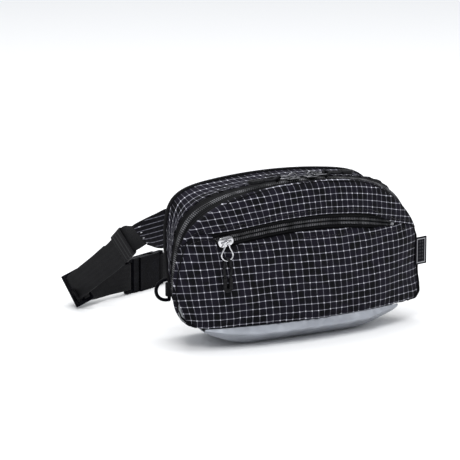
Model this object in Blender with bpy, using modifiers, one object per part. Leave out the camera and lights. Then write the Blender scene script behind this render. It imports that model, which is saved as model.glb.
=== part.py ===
"""Waist pack: a D-shaped zipped bag on a webbing belt with a side-release buckle.

Metres, +Z up. The bag faces -Y, the wearer is on +Y, and the origin is the middle of the flat
patch that the base stands on.
"""

import math

import bmesh
import bpy
from mathutils import Matrix, Vector

# ---------------------------------------------------------------- driving dimensions
GAP = 0.0003  # between neighbouring pieces that touch on the real bag

# Outline of the front: half widths and heights, seen from the front
FRONT_HALF_W = 0.124
FRONT_WIDEST_Z = 0.036
BACK_HALF_W = 0.105
BACK_WIDEST_Z = 0.088
TOP_Z = 0.1405
TOP_R = 0.270  # radius of the arc over the top of the front
BACK_TOP_Z = 0.1385
BACK_TOP_R = 0.500
TOP_ARC_HALF_W = 0.062  # half width of that arc
SEAM_Z = 0.0188  # height of the seam between body and base
FRONT_CORNER_X = 0.108
BACK_CORNER_X = 0.088

# Depth
BACK_Y = 0.025  # inner face of the back panel
FRONT_EDGE_Y = -0.024  # outer face of the front at its widest point
FRONT_R = 0.400  # the front is part of a cylinder of this radius

# Fabric thicknesses
FRONT_T = 0.0020
GUSSET_T = 0.0020
LINING_T = 0.0008
BASE_T = 0.0016
BACK_SHEET_T = 0.0024
BACK_FOAM_T = 0.0054
POCKET_WALL_T = 0.0010

# Zips: coil zips of one size
TAPE_W = 0.0105  # visible width of one tape
TAPE_T = 0.0008
TAPE_SINK = 0.0006  # how far the tape's face lies below the fabric's
COIL_W = 0.0026  # one half of the coil
COIL_T = 0.0024
COIL_PROUD = 0.0002
COIL_SLOT = 0.0011  # between the halves, for the slider's blade

SLIDER_L = 0.0140
SLIDER_W = 0.0098
SLIDER_PLATE_T = 0.0012
SLIDER_LIFT = 0.0009  # between coil and slider plate
BLADE_T = 0.0005
BRIDGE_R = 0.0007
BRIDGE_L = 0.0084
BRIDGE_H = 0.0040
LINK_R = 0.00065
LINK_EYE_R = 0.0018
LINK_W = 0.0102
LINK_L = 0.0150
PULL_CORD_R = 0.0009
PULL_CORD_W = 0.0048
PULL_CORD_L = 0.0145
GRIP_L = 0.0125
GRIP_W = 0.0076
GRIP_T = 0.0034
PULL_DROOP = 0.0016  # how far the end of a pull that lies flat hangs below its link

# Pocket zip across the front
ZIP_Z = 0.1035
ZIP_TILT = math.radians(48)  # tilt of the plane that the zip's curve lies in
SLOT_LEFT_X = -0.0895
SLOT_RIGHT_X = 0.092
SLOT_HALF_H = 0.0074
DIVIDER_EDGE_Z = 0.082  # where the seam beside the zip meets the outline
POCKET_START_X = -0.0795

# Main zip round the gusset
MAIN_PARK_X = 0.0095  # the two sliders stand this far either side of the middle

# Base
BASE_END_X = 0.098
BASE_FLAT_HALF_L = 0.050
BASE_RISE_POWER = 1.6
BASE_FRONT_FLAT_Y = -0.026
BASE_BACK_FLAT_Y = 0.024
BASE_LEDGE_OUT = 0.0050
BASE_LEDGE_DROP = 0.0062

# Belt
WEB_W = 0.025
WEB_T = 0.0016
WING_T = 0.0050
WING_ROOT_H = 0.033
WING_TIP_H = 0.021
WING_ROOT = (0.1005, 0.097)  # x and z of the middle of its root
KEEPER_W = 0.016
KEEPER_TRAVEL = 0.010
KEEPER_T = 0.0012
BUCKLE_H = 0.032
BUCKLE_T = 0.0090
BUCKLE_WALL = 0.0015
BUCKLE_L = 0.050  # from bar to bar
BAR_R = 0.0016
ARM_L = 0.021
ADJUSTER_H = 0.033
ADJUSTER_BAR = 0.0026

# Where the belt lies; the buckle's direction is along the floor
MALE_BAR = (-0.056, 0.190, 0.0166)
BUCKLE_WAY = (0.911, 0.411, 0.0)
ADJUSTER_AT = (-0.1180, 0.1690, 0.0178)
ADJUSTER_UP = (-0.152, 0.641, 0.752)  # along its bars

# D-ring on the left side, label at the right side seam
RING_H = 0.0185
RING_OUT = 0.0130
RING_WIRE_R = 0.0013
RING_AT = (-0.0990, BACK_Y + 0.0056, 0.0420)
TAB_W = 0.0120
LABEL_W = 0.0136
LABEL_H = 0.0250
LABEL_T = 0.0012
LABEL_X = 0.116
LABEL_Z = 0.0625

# Segments
ARC_STEPS = 5
SHOULDER_STEPS = 7
CORNER_STEPS = 4

COLLECTION = "waist_pack"


# ---------------------------------------------------------------- scene and materials
def clear_scene():
    for obj in list(bpy.data.objects):
        bpy.data.objects.remove(obj)


def collection_of(name):
    made = bpy.data.collections.new(name)
    bpy.context.scene.collection.children.link(made)
    return made


def material_of(name, colour, roughness, metallic=0.0):
    made = bpy.data.materials.new(name)
    made.use_nodes = True
    shader = made.node_tree.nodes["Principled BSDF"]
    shader.inputs["Base Color"].default_value = (*colour, 1.0)
    shader.inputs["Roughness"].default_value = roughness
    shader.inputs["Metallic"].default_value = metallic
    return made


def add(name, mesh, material):
    obj = bpy.data.objects.new(name, mesh)
    obj.data.materials.append(material)
    bpy.data.collections[COLLECTION].objects.link(obj)
    return obj


# ---------------------------------------------------------------- mesh helpers
def mesh_from(bm, name):
    bmesh.ops.recalc_face_normals(bm, faces=bm.faces)
    mesh = bpy.data.meshes.new(name)
    bm.to_mesh(mesh)
    bm.free()
    return mesh


def grid_mesh(name, rows):
    """An open sheet through rows of points, all rows the same length."""
    bm = bmesh.new()
    made = [[bm.verts.new(p) for p in row] for row in rows]
    for low, high in zip(made, made[1:]):
        for i in range(len(low) - 1):
            bm.faces.new((low[i], low[i + 1], high[i + 1], high[i]))
    mesh = bpy.data.meshes.new(name)
    bm.to_mesh(mesh)
    bm.free()
    return mesh


def shell(name, rows, thickness, material):
    """A sheet thickened to the side away from its normal, which is the inner side."""
    obj = add(name, grid_mesh(name, rows), material)
    solid = obj.modifiers.new("thickness", "SOLIDIFY")
    solid.thickness = thickness
    solid.offset = -1.0
    solid.use_even_offset = True
    return obj


def loft(name, rings, material):
    """A closed body through rings of corners, each ring joined to the next, with flat ends."""
    bm = bmesh.new()
    made = [[bm.verts.new(p) for p in ring] for ring in rings]
    count = len(rings[0])
    for low, high in zip(made, made[1:]):
        for i in range(count):
            j = (i + 1) % count
            bm.faces.new((low[i], low[j], high[j], high[i]))
    bm.faces.new(list(reversed(made[0])))
    bm.faces.new(made[-1])
    return add(name, mesh_from(bm, name), material)


def box_mesh(name, size, centre=(0, 0, 0)):
    bm = bmesh.new()
    bmesh.ops.create_cube(bm, size=1.0)
    bmesh.ops.scale(bm, vec=Vector(size), verts=bm.verts)
    bmesh.ops.translate(bm, vec=Vector(centre), verts=bm.verts)
    mesh = bpy.data.meshes.new(name)
    bm.to_mesh(mesh)
    bm.free()
    return mesh


def cutter(name, mesh, matrix=Matrix.Identity(4)):
    obj = bpy.data.objects.new(name, mesh)
    obj.matrix_world = matrix
    obj.hide_render = True
    obj.display_type = "WIRE"
    bpy.data.collections["cutters"].objects.link(obj)
    return obj


def combine(obj, other, operation):
    step = obj.modifiers.new(operation.lower() + "_" + other.name, "BOOLEAN")
    step.object = other
    step.operation = operation
    step.solver = "EXACT"


def bevel(obj, width, segments=2):
    step = obj.modifiers.new("rounded", "BEVEL")
    step.width = width
    step.segments = segments
    step.limit_method = "ANGLE"
    step.angle_limit = math.radians(40)


def tube_curve(name, points, radius, cyclic=False, sides=2):
    """A round wire through the points, as a curve object that isn't in the scene's collections."""
    data = bpy.data.curves.new(name, "CURVE")
    data.dimensions = "3D"
    data.bevel_depth = radius
    data.bevel_resolution = sides
    data.use_fill_caps = not cyclic
    spline = data.splines.new("POLY")
    spline.points.add(len(points) - 1)
    for point, place in zip(spline.points, points):
        point.co = (*place, 1.0)
    spline.use_cyclic_u = cyclic
    return bpy.data.objects.new(name, data)


def mesh_of_curve(curve):
    """The curve's surface as a welded mesh; the curve is removed."""
    collection = bpy.data.collections["cutters"]
    collection.objects.link(curve)
    bpy.context.view_layer.update()
    graph = bpy.context.evaluated_depsgraph_get()
    mesh = bpy.data.meshes.new_from_object(curve.evaluated_get(graph))
    name = curve.name
    bpy.data.objects.remove(curve)
    bm = bmesh.new()
    bm.from_mesh(mesh)
    bmesh.ops.remove_doubles(bm, verts=bm.verts, dist=1e-6)
    bmesh.ops.recalc_face_normals(bm, faces=bm.faces)
    bm.to_mesh(mesh)
    bm.free()
    mesh.name = name
    mesh.materials.clear()
    return mesh


# ---------------------------------------------------------------- curves of the bag
def bezier(a, b, c, d, steps, first=0):
    """Points of a cubic curve from a to d; first=1 leaves out a."""
    made = []
    for i in range(first, steps + 1):
        t = i / steps
        s = 1 - t
        made.append(a * s**3 + b * 3 * s * s * t + c * 3 * s * t * t + d * t**3)
    return made


def half_outline(top, half_w, widest_z, corner_x, corner_z, shoulder, corner):
    """Right half of an outline in (x, z), from the middle of the top to the lower corner."""
    top_z, top_r = top
    end = math.asin(TOP_ARC_HALF_W / top_r)
    angles = [end * i / ARC_STEPS for i in range(ARC_STEPS + 1)]
    arc = [Vector((top_r * math.sin(a), top_z - top_r + top_r * math.cos(a))) for a in angles]
    start = arc[-1]
    along = Vector((math.cos(end), -math.sin(end)))
    side = Vector((half_w, widest_z))
    low = Vector((corner_x, corner_z))
    side_above = side + Vector((0, shoulder[1]))
    shoulder_pts = bezier(start, start + along * shoulder[0], side_above, side, SHOULDER_STEPS, 1)
    side_below = side - Vector((0, corner[0]))
    corner_pts = bezier(side, side_below, low + Vector((corner[1], 0)), low, CORNER_STEPS, 1)
    return arc + shoulder_pts + corner_pts


def whole(half):
    """Left half mirrored and joined to the right one: from the left lower corner to the right."""
    return [Vector((-p.x, p.y)) for p in reversed(half[1:])] + half


def parallel(points, inset):
    """The outline moved inward by inset, corner for corner."""
    made = []
    for i, p in enumerate(points):
        before = (p - points[i - 1]).normalized() if i else (points[1] - p).normalized()
        after = (points[i + 1] - p).normalized() if i + 1 < len(points) else before
        along = (before + after).normalized()
        inward = Vector((along.y, -along.x))
        made.append(p + inward * (inset / along.dot(before)))
    return made


FRONT_SHOULDER = (0.034, 0.050)
FRONT_CORNER = (0.011, 0.010)
BACK_SHOULDER = (0.036, 0.034)
BACK_CORNER = (0.042, 0.003)


def front_outline(inset=0.0):
    sizes = (FRONT_HALF_W, FRONT_WIDEST_Z, FRONT_CORNER_X, SEAM_Z, FRONT_SHOULDER, FRONT_CORNER)
    return parallel(whole(half_outline((TOP_Z, TOP_R), *sizes)), inset)


def back_outline(inset=0.0):
    sizes = (BACK_HALF_W, BACK_WIDEST_Z, BACK_CORNER_X, SEAM_Z, BACK_SHOULDER, BACK_CORNER)
    return parallel(whole(half_outline((BACK_TOP_Z, BACK_TOP_R), *sizes)), inset)


def front_y(x):
    """Outer face of the front panel: a cylinder with an upright axis."""
    sag = FRONT_R - math.sqrt(FRONT_R**2 - x * x)
    edge_sag = FRONT_R - math.sqrt(FRONT_R**2 - FRONT_HALF_W**2)
    return FRONT_EDGE_Y - edge_sag + sag


FRONT_APEX_Y = front_y(0.0)


# The main zip's curve over the top, between the arcs of front and back
COIL_SHARE = (TAPE_W + COIL_W + COIL_SLOT / 2) / (BACK_Y - FRONT_APEX_Y - FRONT_T)
COIL_TOP_Z = TOP_Z + (BACK_TOP_Z - TOP_Z) * COIL_SHARE + COIL_PROUD
COIL_TOP_R = 1 / ((1 - COIL_SHARE) / TOP_R + COIL_SHARE / BACK_TOP_R)


def gusset_point(u, depth, drop=0.0):
    """Point of the gusset: u counts along the outline, depth is the distance back from its front edge.

    drop is how far the point lies below the outer face."""
    fronts, backs = front_outline(drop), back_outline(drop)
    f, b = fronts[u], backs[u]
    front = Vector((f.x, front_y(f.x) + FRONT_T + 1.5 * GAP, f.y))
    back = Vector((b.x, BACK_Y - 2 * GAP, b.y))
    way = back - front
    if depth is None:
        return back
    return front + way * (depth / way.length)


def gusset_rows(depths, drop=0.0):
    count = len(front_outline())
    return [[gusset_point(u, d, drop) for u in range(count)] for d in depths]


# ---------------------------------------------------------------- pocket zip's curve
ZIP_ARC_R = FRONT_R * math.cos(ZIP_TILT)
ZIP_IN = Vector((0.0, math.cos(ZIP_TILT), -math.sin(ZIP_TILT)))


def zip_z(x):
    """Height of the pocket zip's middle line at x: an arc in a tilted plane."""
    return ZIP_Z - ZIP_ARC_R * (1 - math.sqrt(1 - (x / ZIP_ARC_R) ** 2)) * math.sin(ZIP_TILT)


def slot_half(x):
    """Half height of the opening round the pocket zip: blunt at the left, tapered at the right."""
    if x <= SLOT_LEFT_X or x >= SLOT_RIGHT_X:
        return GAP / 2
    t = (x - SLOT_LEFT_X) / (SLOT_RIGHT_X - SLOT_LEFT_X)
    return GAP / 2 + SLOT_HALF_H * min(1.0, t / 0.03) ** 0.5 * min(1.0, (1 - t) / 0.16) ** 0.8


def divider_z(x):
    """The seam line across the front: the zip's curve, running out to the outline at both ends."""
    for end, sign in ((SLOT_LEFT_X, -1), (SLOT_RIGHT_X, 1)):
        if x * sign > end * sign:
            t = (x - end) / (sign * 0.118 - end)
            return zip_z(end) + (DIVIDER_EDGE_Z - zip_z(end)) * t * t
    return zip_z(x)


def outline_crossing(points, z):
    """Index along the right half of an outline of the last point above z."""
    return max(i for i, p in enumerate(points) if p.y > z)


def coons(bottom, top, left, right):
    """Rows of points that fill four edge curves; bottom and top run the same way."""
    rows = []
    for j in range(len(left)):
        t = j / (len(left) - 1)
        row = []
        for i in range(len(bottom)):
            s = i / (len(bottom) - 1)
            ruled = bottom[i] * (1 - t) + top[i] * t + left[j] * (1 - s) + right[j] * s
            corners = (
                bottom[0] * (1 - s) * (1 - t)
                + bottom[-1] * s * (1 - t)
                + top[0] * (1 - s) * t
                + top[-1] * s * t
            )
            row.append(ruled - corners)
        rows.append(row)
    return rows


def spread(points, count):
    """The polyline again, as count points evenly spaced along it."""
    lengths = [0.0]
    for a, b in zip(points, points[1:]):
        lengths.append(lengths[-1] + (b - a).length)
    made = []
    for k in range(count):
        at = lengths[-1] * k / (count - 1)
        i = next(i for i in range(1, len(lengths)) if lengths[i] >= at - 1e-12)
        share = (at - lengths[i - 1]) / (lengths[i] - lengths[i - 1])
        made.append(points[i - 1].lerp(points[i], share))
    return made


def on_front(points):
    """Flat (x, z) points laid on the front's outer face."""
    return [Vector((p.x, front_y(p.x), p.y)) for p in points]


# ---------------------------------------------------------------- body of the bag
PANEL_COLUMNS = 33
LOWER_ROWS = 5
UPPER_ROWS = 4


def front_panels(fabric):
    outline = front_outline()
    half = len(outline) // 2
    cross = outline_crossing(outline[half:], DIVIDER_EDGE_Z)
    left_cross, right_cross = half - cross, half + cross
    edge_x = outline[right_cross].x

    xs = [-edge_x + 2 * edge_x * i / (PANEL_COLUMNS - 1) for i in range(PANEL_COLUMNS)]
    below = [Vector((x, divider_z(x) - slot_half(x))) for x in xs]
    above = [Vector((x, divider_z(x) + slot_half(x))) for x in xs]

    seam = [
        Vector((FRONT_CORNER_X * (2 * i / (PANEL_COLUMNS - 1) - 1), SEAM_Z + GAP))
        for i in range(PANEL_COLUMNS)
    ]
    left = spread([seam[0]] + outline[1:left_cross] + [below[0]], LOWER_ROWS + 1)
    right = [Vector((-p.x, p.y)) for p in left]
    rows = [on_front(row) for row in coons(seam, below, left, right)]
    shell("front_lower_panel", rows, FRONT_T, fabric)

    shoulder = 3  # outline points up each side before the top edge begins
    left = spread([above[0]] + outline[left_cross + 1 : left_cross + 1 + shoulder], UPPER_ROWS + 1)
    right = [Vector((-p.x, p.y)) for p in left]
    top = spread(outline[left_cross + shoulder : right_cross + 1 - shoulder], PANEL_COLUMNS)
    rows = [on_front(row) for row in coons(above, top, left, right)]
    shell("front_upper_panel", rows, FRONT_T, fabric)


def flat_plate(name, outline, y_near, y_far, material):
    """A flat panel with that outline between two planes of y."""
    rings = [[Vector((p.x, y, p.y)) for p in outline] for y in (y_near, y_far)]
    return loft(name, rings, material)


def back_panels(mesh_fabric, foam):
    outline = back_outline()
    low = [Vector((p.x, max(p.y, SEAM_Z + GAP))) for p in outline]
    sheet_y = BACK_Y + BACK_SHEET_T
    flat_plate("back_panel", low, BACK_Y, sheet_y, mesh_fabric)
    inner = [Vector((p.x, max(p.y, SEAM_Z + GAP + BASE_T))) for p in back_outline(0.0065)]
    flat_plate("back_pad", inner, BACK_Y - GAP - BACK_FOAM_T, BACK_Y - GAP, foam)


def gusset_parts(fabric, tape, coil, lining):
    zip_end = 2 * TAPE_W + 2 * COIL_W + COIL_SLOT
    shell("gusset", gusset_rows([zip_end + GAP, 0.033, None]), GUSSET_T, fabric)

    front_tape = [0.0, TAPE_W - 2 * GAP]
    shell("main_tape_front", gusset_rows(front_tape, TAPE_SINK), TAPE_T, tape)
    coil_front = [TAPE_W, TAPE_W + COIL_W]
    shell("main_coil_front", gusset_rows(coil_front, -COIL_PROUD), COIL_T, coil)
    coil_rear = [TAPE_W + COIL_W + COIL_SLOT, TAPE_W + 2 * COIL_W + COIL_SLOT]
    shell("main_coil_rear", gusset_rows(coil_rear, -COIL_PROUD), COIL_T, coil)
    rear_tape = [coil_rear[1] + 2 * GAP, zip_end - GAP]
    shell("main_tape_rear", gusset_rows(rear_tape, TAPE_SINK), TAPE_T, tape)
    drop = GUSSET_T + 3 * GAP
    shell("gusset_lining", gusset_rows([zip_end + 2 * GAP, None], drop), LINING_T, lining)


def pocket_strip(name, low, high, sink, thickness, material):
    """A strip that follows the pocket zip behind the front, between two heights off its middle line."""
    ends = (SLOT_LEFT_X - 0.003, SLOT_RIGHT_X + 0.003)
    xs = [ends[0] + (ends[1] - ends[0]) * i / 20 for i in range(21)]
    rows = []
    for offset in (low, high):
        rows.append([Vector((x, front_y(x) + sink, zip_z(x) + offset)) for x in xs])
    return shell(name, rows, thickness, material)


POCKET_COIL_SINK = FRONT_T + GAP
COIL_EDGE = COIL_SLOT / 2 + COIL_W


def pocket_zip(tape, coil, lining):
    pocket_strip("pocket_coil_upper", COIL_SLOT / 2, COIL_EDGE, POCKET_COIL_SINK, COIL_T, coil)
    pocket_strip("pocket_coil_lower", -COIL_EDGE, -COIL_SLOT / 2, POCKET_COIL_SINK, COIL_T, coil)
    sink = POCKET_COIL_SINK + COIL_T / 3
    reach = COIL_EDGE + TAPE_W
    pocket_strip("pocket_tape_upper", COIL_EDGE + GAP, reach, sink, TAPE_T, tape)
    pocket_strip("pocket_tape_lower", -reach, -COIL_EDGE - GAP, sink, TAPE_T, tape)
    inset = GUSSET_T + LINING_T + 0.0020
    outline = [Vector((p.x, max(p.y, SEAM_Z + 0.003))) for p in front_outline(inset)]
    wall_y = FRONT_EDGE_Y + 0.0015
    flat_plate("pocket_wall", outline, wall_y, wall_y + POCKET_WALL_T, lining)


def base_section(x_share):
    """One cross-section of the base, from the front seam under the bag to the back seam."""
    x_front = x_share * BASE_END_X
    x_back = x_share * (BACK_CORNER_X - 0.002)
    past = max(0.0, abs(x_front) - BASE_FLAT_HALF_L)
    reach = BASE_END_X - BASE_FLAT_HALF_L
    depth = 1 - (1 - BASE_END_DEPTH) * (past / reach) ** BASE_RISE_POWER
    top_z = SEAM_Z - GAP
    front = Vector((front_y(x_front), top_z))
    back = Vector((BACK_Y + BACK_SHEET_T, top_z))
    bottom_z = top_z * (1 - depth)
    ledge_z = top_z - BASE_LEDGE_DROP * depth
    front_ledge = Vector((front.x - BASE_LEDGE_OUT * depth, ledge_z))
    back_ledge = Vector((back.x + BASE_LEDGE_OUT * depth, ledge_z))
    front_foot = Vector((front.x * (1 - depth) + BASE_FRONT_FLAT_Y * depth, bottom_z))
    back_foot = Vector((back.x * (1 - depth) + BASE_BACK_FLAT_Y * depth, bottom_z))
    under = Vector((0, bottom_z))
    profile = [front, front.lerp(front_ledge, 0.6), front_ledge]
    profile += [front_ledge.lerp(front_foot, 0.55), front_foot, under, back_foot]
    profile += [back_foot.lerp(back_ledge, 0.45), back_ledge, back.lerp(back_ledge, 0.6), back]
    made = []
    for p in profile:
        share = (p.x - front.x) / (back.x - front.x)
        share = min(1.0, max(0.0, share))
        made.append(Vector((x_front * (1 - share) + x_back * share, p.x, p.y)))
    return made, min(1.0, depth * 4)


BASE_COLUMNS = (-1, -0.94, -0.86, -0.75, -0.63, -0.51, -0.25, 0, 0.25, 0.51, 0.63, 0.75, 0.86, 0.94, 1)
BASE_END_DEPTH = 0.15  # share of the depth that is left at the pointed ends


def base_parts(coated):
    rings = []
    for share in BASE_COLUMNS:
        outer, lift = base_section(share)
        inner = []
        for i, p in enumerate(outer):
            side = (i < 5) - (i > 5)
            rise = (0, 0, 0, 0.4, 1, 1, 1, 0.4, 0, 0, 0)[i]
            inner.append(p + Vector((0, side * BASE_T, rise * lift * BASE_T)))
        rings.append(outer + list(reversed(inner)))
    loft("base_panel", rings, coated)


# ---------------------------------------------------------------- sliders and pulls
def frame_matrix(origin, along, out):
    """Axes for a slider: x along the zip, z out of the surface."""
    x = along.normalized()
    z = (out - x * out.dot(x)).normalized()
    y = z.cross(x)
    return Matrix.Translation(origin) @ Matrix((x, y, z)).transposed().to_4x4()


def slider_mesh(name, depth_below):
    """Slider: an upper plate, a blade through the coil, a lower plate and a bridge for the pull.

    Local z = 0 is the coil's outer face."""
    top_low = SLIDER_LIFT
    top_high = top_low + SLIDER_PLATE_T
    low_high = -depth_below - 0.0006
    low_low = low_high - SLIDER_PLATE_T
    plate = plate_mesh(name, SLIDER_L, SLIDER_W, top_low, top_high)
    body = bpy.data.objects.new(name, plate)
    bpy.data.collections["cutters"].objects.link(body)
    lower = cutter(name + "_lower", plate_mesh(name + "_lower", SLIDER_L, SLIDER_W * 0.9, low_low, low_high))
    blade_z = (low_low + top_high) / 2
    blade = cutter(
        name + "_blade",
        box_mesh(
            name + "_blade",
            (SLIDER_L * 0.3, BLADE_T, top_high - low_low - 0.0006),
            (SLIDER_L * 0.25, 0, blade_z),
        ),
    )
    span = BRIDGE_L / 2
    sink = 0.0004
    points = []
    for i in range(9):
        angle = math.pi * i / 8
        points.append((-span * math.cos(angle), 0.0, top_high - sink + BRIDGE_H * math.sin(angle) ** 0.7))
    bridge = cutter(name + "_bridge", mesh_of_curve(tube_curve(name + "_bridge", points, BRIDGE_R)))
    for other in (lower, blade, bridge):
        combine(body, other, "UNION")
    bpy.context.view_layer.update()
    graph = bpy.context.evaluated_depsgraph_get()
    mesh = bpy.data.meshes.new_from_object(body.evaluated_get(graph))
    mesh.name = name
    mesh.materials.clear()
    bpy.data.objects.remove(body)
    return mesh


def plate_mesh(name, length, width, low, high):
    """An oval plate, narrower at its tail, between two heights."""
    outline = []
    for i in range(16):
        angle = 2 * math.pi * i / 16
        x = length / 2 * math.copysign(abs(math.cos(angle)) ** 0.7, math.cos(angle))
        taper = 1 - 0.14 * (1 - x / (length / 2)) / 2
        y = width / 2 * taper * math.copysign(abs(math.sin(angle)) ** 0.7, math.sin(angle))
        outline.append((x, y))
    bm = bmesh.new()
    low_ring = [bm.verts.new((x, y, low)) for x, y in outline]
    high_ring = [bm.verts.new((x, y, high)) for x, y in outline]
    for i in range(16):
        j = (i + 1) % 16
        bm.faces.new((low_ring[i], low_ring[j], high_ring[j], high_ring[i]))
    bm.faces.new(list(reversed(low_ring)))
    bm.faces.new(high_ring)
    return mesh_from(bm, name)


BRIDGE_TOP = SLIDER_LIFT + SLIDER_PLATE_T - 0.0004 + BRIDGE_H  # middle of the bridge wire, local z


def stirrup_points():
    """The pull link's loop, in its own plane: x across, y away from the bridge."""
    half = LINK_W / 2
    start = LINK_EYE_R + LINK_R * 0.6
    points = []
    for i in range(6):
        t = i / 5
        points.append((half * (0.34 + 0.66 * t * t * (3 - 2 * t)), -start - (LINK_L - half) * 0.86 * t))
    low = points[-1][1]
    for i in range(1, 8):
        angle = math.pi * i / 8
        points.append((half * math.cos(angle), low - half * math.sin(angle)))
    mirrored = [(-x, y) for x, y in reversed(points[:6])]
    return points + mirrored


def loop_points():
    """A flat pull link whose near side runs through the slider's bridge."""
    half = LINK_W / 2
    near = 0.0023
    points = [(near, -0.0016), (near * 1.1, -0.0030), (half * 0.8, -0.0066), (half, -0.0100)]
    for i in range(1, 8):
        angle = math.pi * i / 8
        points.append((half * math.cos(angle), -0.0100 - half * 0.9 * math.sin(angle)))
    mirrored = [(-x, y) for x, y in reversed(points[:4])]
    return points + mirrored


def pull_parts(prefix, matrix, metal, cord, grip, flat=False, droop=0.0):
    """Link, cord loop and grip of one pull, lying along local -y from the bridge.

    A hanging pull has an eye round the bridge; a flat one has a loop that passes under it."""
    if flat:
        level = SLIDER_LIFT + SLIDER_PLATE_T + GAP + LINK_R
        loop = [(x, y, level) for x, y in loop_points()]
        reach = min(p[1] for p in loop)
    else:
        level = BRIDGE_TOP - (LINK_EYE_R - BRIDGE_R - LINK_R - 0.0002)
        loop = [(x, y, level) for x, y in stirrup_points()]
        reach = min(p[1] for p in loop)
    link = add(prefix + "_link", mesh_of_curve(tube_curve(prefix + "_link", loop, LINK_R, True)), metal)
    if not flat:
        turns = [2 * math.pi * i / 12 for i in range(12)]
        eye = [(0.0, LINK_EYE_R * math.cos(a), level + LINK_EYE_R * math.sin(a)) for a in turns]
        eye_mesh = mesh_of_curve(tube_curve(prefix + "_eye", eye, LINK_R, True))
        combine(link, cutter(prefix + "_eye", eye_mesh), "UNION")

    half = PULL_CORD_W / 2
    turn = PULL_CORD_R + LINK_R + GAP
    far = reach - PULL_CORD_L
    low = level - droop
    across = []
    for i in range(9):
        angle = math.pi * (0.5 - i / 8)
        side = half * (1 - i / 4) * 0.8
        across.append((side, reach + turn * math.cos(angle), level + turn * math.sin(angle)))
    down = [(-half, reach - 0.0045, level - 0.0004), (-half * 0.9, (reach + far) / 2, (level + low) / 2)]
    down.append((-half * 0.6, far, low))
    up = [(-x, y, z) for x, y, z in reversed(down)]
    cord_mesh = mesh_of_curve(tube_curve(prefix + "_cord", up + across + down, PULL_CORD_R))
    cord_obj = add(prefix + "_cord", cord_mesh, cord)

    grip_centre = (0, far - GRIP_L / 2 - GAP - PULL_CORD_R * (droop > 0), low)
    grip_obj = add(prefix + "_grip", box_mesh(prefix + "_grip", (GRIP_W, GRIP_L, GRIP_T), grip_centre), grip)
    bevel(grip_obj, 0.0012, 2)
    for obj in (link, cord_obj, grip_obj):
        obj.data.transform(matrix)
    for step in link.modifiers:
        step.object.data.transform(matrix)


def pocket_slider(metal, cord, grip):
    x = POCKET_START_X
    ahead = 0.001
    place = Vector((x, front_y(x) + POCKET_COIL_SINK, zip_z(x)))
    before = Vector((x - ahead, front_y(x - ahead) + POCKET_COIL_SINK, zip_z(x - ahead)))
    out = Vector((x / FRONT_R, -math.sqrt(1 - (x / FRONT_R) ** 2), 0))
    mesh = slider_mesh("pocket_slider", COIL_T)
    mesh.transform(frame_matrix(place, before - place, out))
    add("pocket_slider", mesh, metal)
    level = Vector((0, 0, 1)).cross(out)
    pull_parts("pocket_pull", frame_matrix(place, level, out), metal, cord, grip)


def main_slider(side, metal, cord, grip):
    """side is -1 for the left slider and 1 for the right one."""
    name = "main_slider_left" if side < 0 else "main_slider_right"
    pull = "main_pull_left" if side < 0 else "main_pull_right"
    x = side * MAIN_PARK_X
    angle = math.asin(x / COIL_TOP_R)
    out = Vector((math.sin(angle), 0, math.cos(angle)))
    y = front_y(x) + FRONT_T + GAP + TAPE_W + COIL_W + COIL_SLOT / 2
    place = Vector((0, y, COIL_TOP_Z - COIL_TOP_R)) + out * COIL_TOP_R
    along = Vector((-side * math.cos(angle), -side * (x / FRONT_R), side * math.sin(angle)))
    matrix = frame_matrix(place, along, out)
    mesh = slider_mesh(name, COIL_T)
    mesh.transform(matrix)
    add(name, mesh, metal)
    turned = matrix @ Matrix.Rotation(-math.pi / 2, 4, "Z")
    pull_parts(pull, turned, metal, cord, grip, True, PULL_DROOP)


# ---------------------------------------------------------------- belt
def oriented(stations):
    """The stations with their width direction squared to the path, and the normal added."""
    made = []
    for i, station in enumerate(stations):
        place, wide, width, thickness = station[:4]
        if len(station) > 4:
            made.append(station)
            continue
        before = stations[max(i - 1, 0)][0]
        after = stations[min(i + 1, len(stations) - 1)][0]
        along = (after - before).normalized()
        w = (wide - along * wide.dot(along)).normalized()
        made.append((place, w, width, thickness, w.cross(along)))
    return made


def band(name, stations, material):
    """A flat strap: stations are (middle, direction of its width, width, thickness[, normal])."""
    rings = []
    for place, w, width, thickness, n in oriented(stations):
        half_w, half_t = w * width / 2, n * thickness / 2
        over, under = place + half_t, place - half_t
        rings.append([over + half_w, over - half_w, under - half_w, under + half_w])
    return loft(name, rings, material)


def smooth(points, steps):
    """Points of a smooth curve through the given ones."""
    made = []
    padded = [points[0] * 2 - points[1]] + points + [points[-1] * 2 - points[-2]]
    for i in range(1, len(padded) - 2):
        a, b, c, d = padded[i - 1 : i + 3]
        for k in range(steps):
            t = k / steps
            linear = (c - a) * (t / 2)
            square = (a * 2 - b * 5 + c * 4 - d) * (t * t / 2)
            cube = (b * 3 - a - c * 3 + d) * (t**3 / 2)
            made.append(b + linear + square + cube)
    return made + [points[-1]]


def smooth_band(controls, steps):
    """Stations of a strap through (middle, width direction, width, thickness) controls."""
    places = smooth([c[0] for c in controls], steps)
    wides = smooth([c[1] for c in controls], steps)
    made = []
    for i, place in enumerate(places):
        low = min(i // steps, len(controls) - 2)
        share = (i - low * steps) / steps
        width = controls[low][2] * (1 - share) + controls[low + 1][2] * share
        thickness = controls[low][3] * (1 - share) + controls[low + 1][3] * share
        made.append((place, wides[i].normalized(), width, thickness))
    return made


def mirrored(point, side):
    return Vector((point[0] * side, point[1], point[2]))


TIP = (0.103, 0.0750, 0.0828)  # of the right wing; the left one is its mirror image
TIP_UP = (0.565, 0.230, 0.797)
KEEPER_AT = (0.106, 0.100, 0.0695)
KEEPER_UP = (0.240, 0.587, 0.771)


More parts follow.
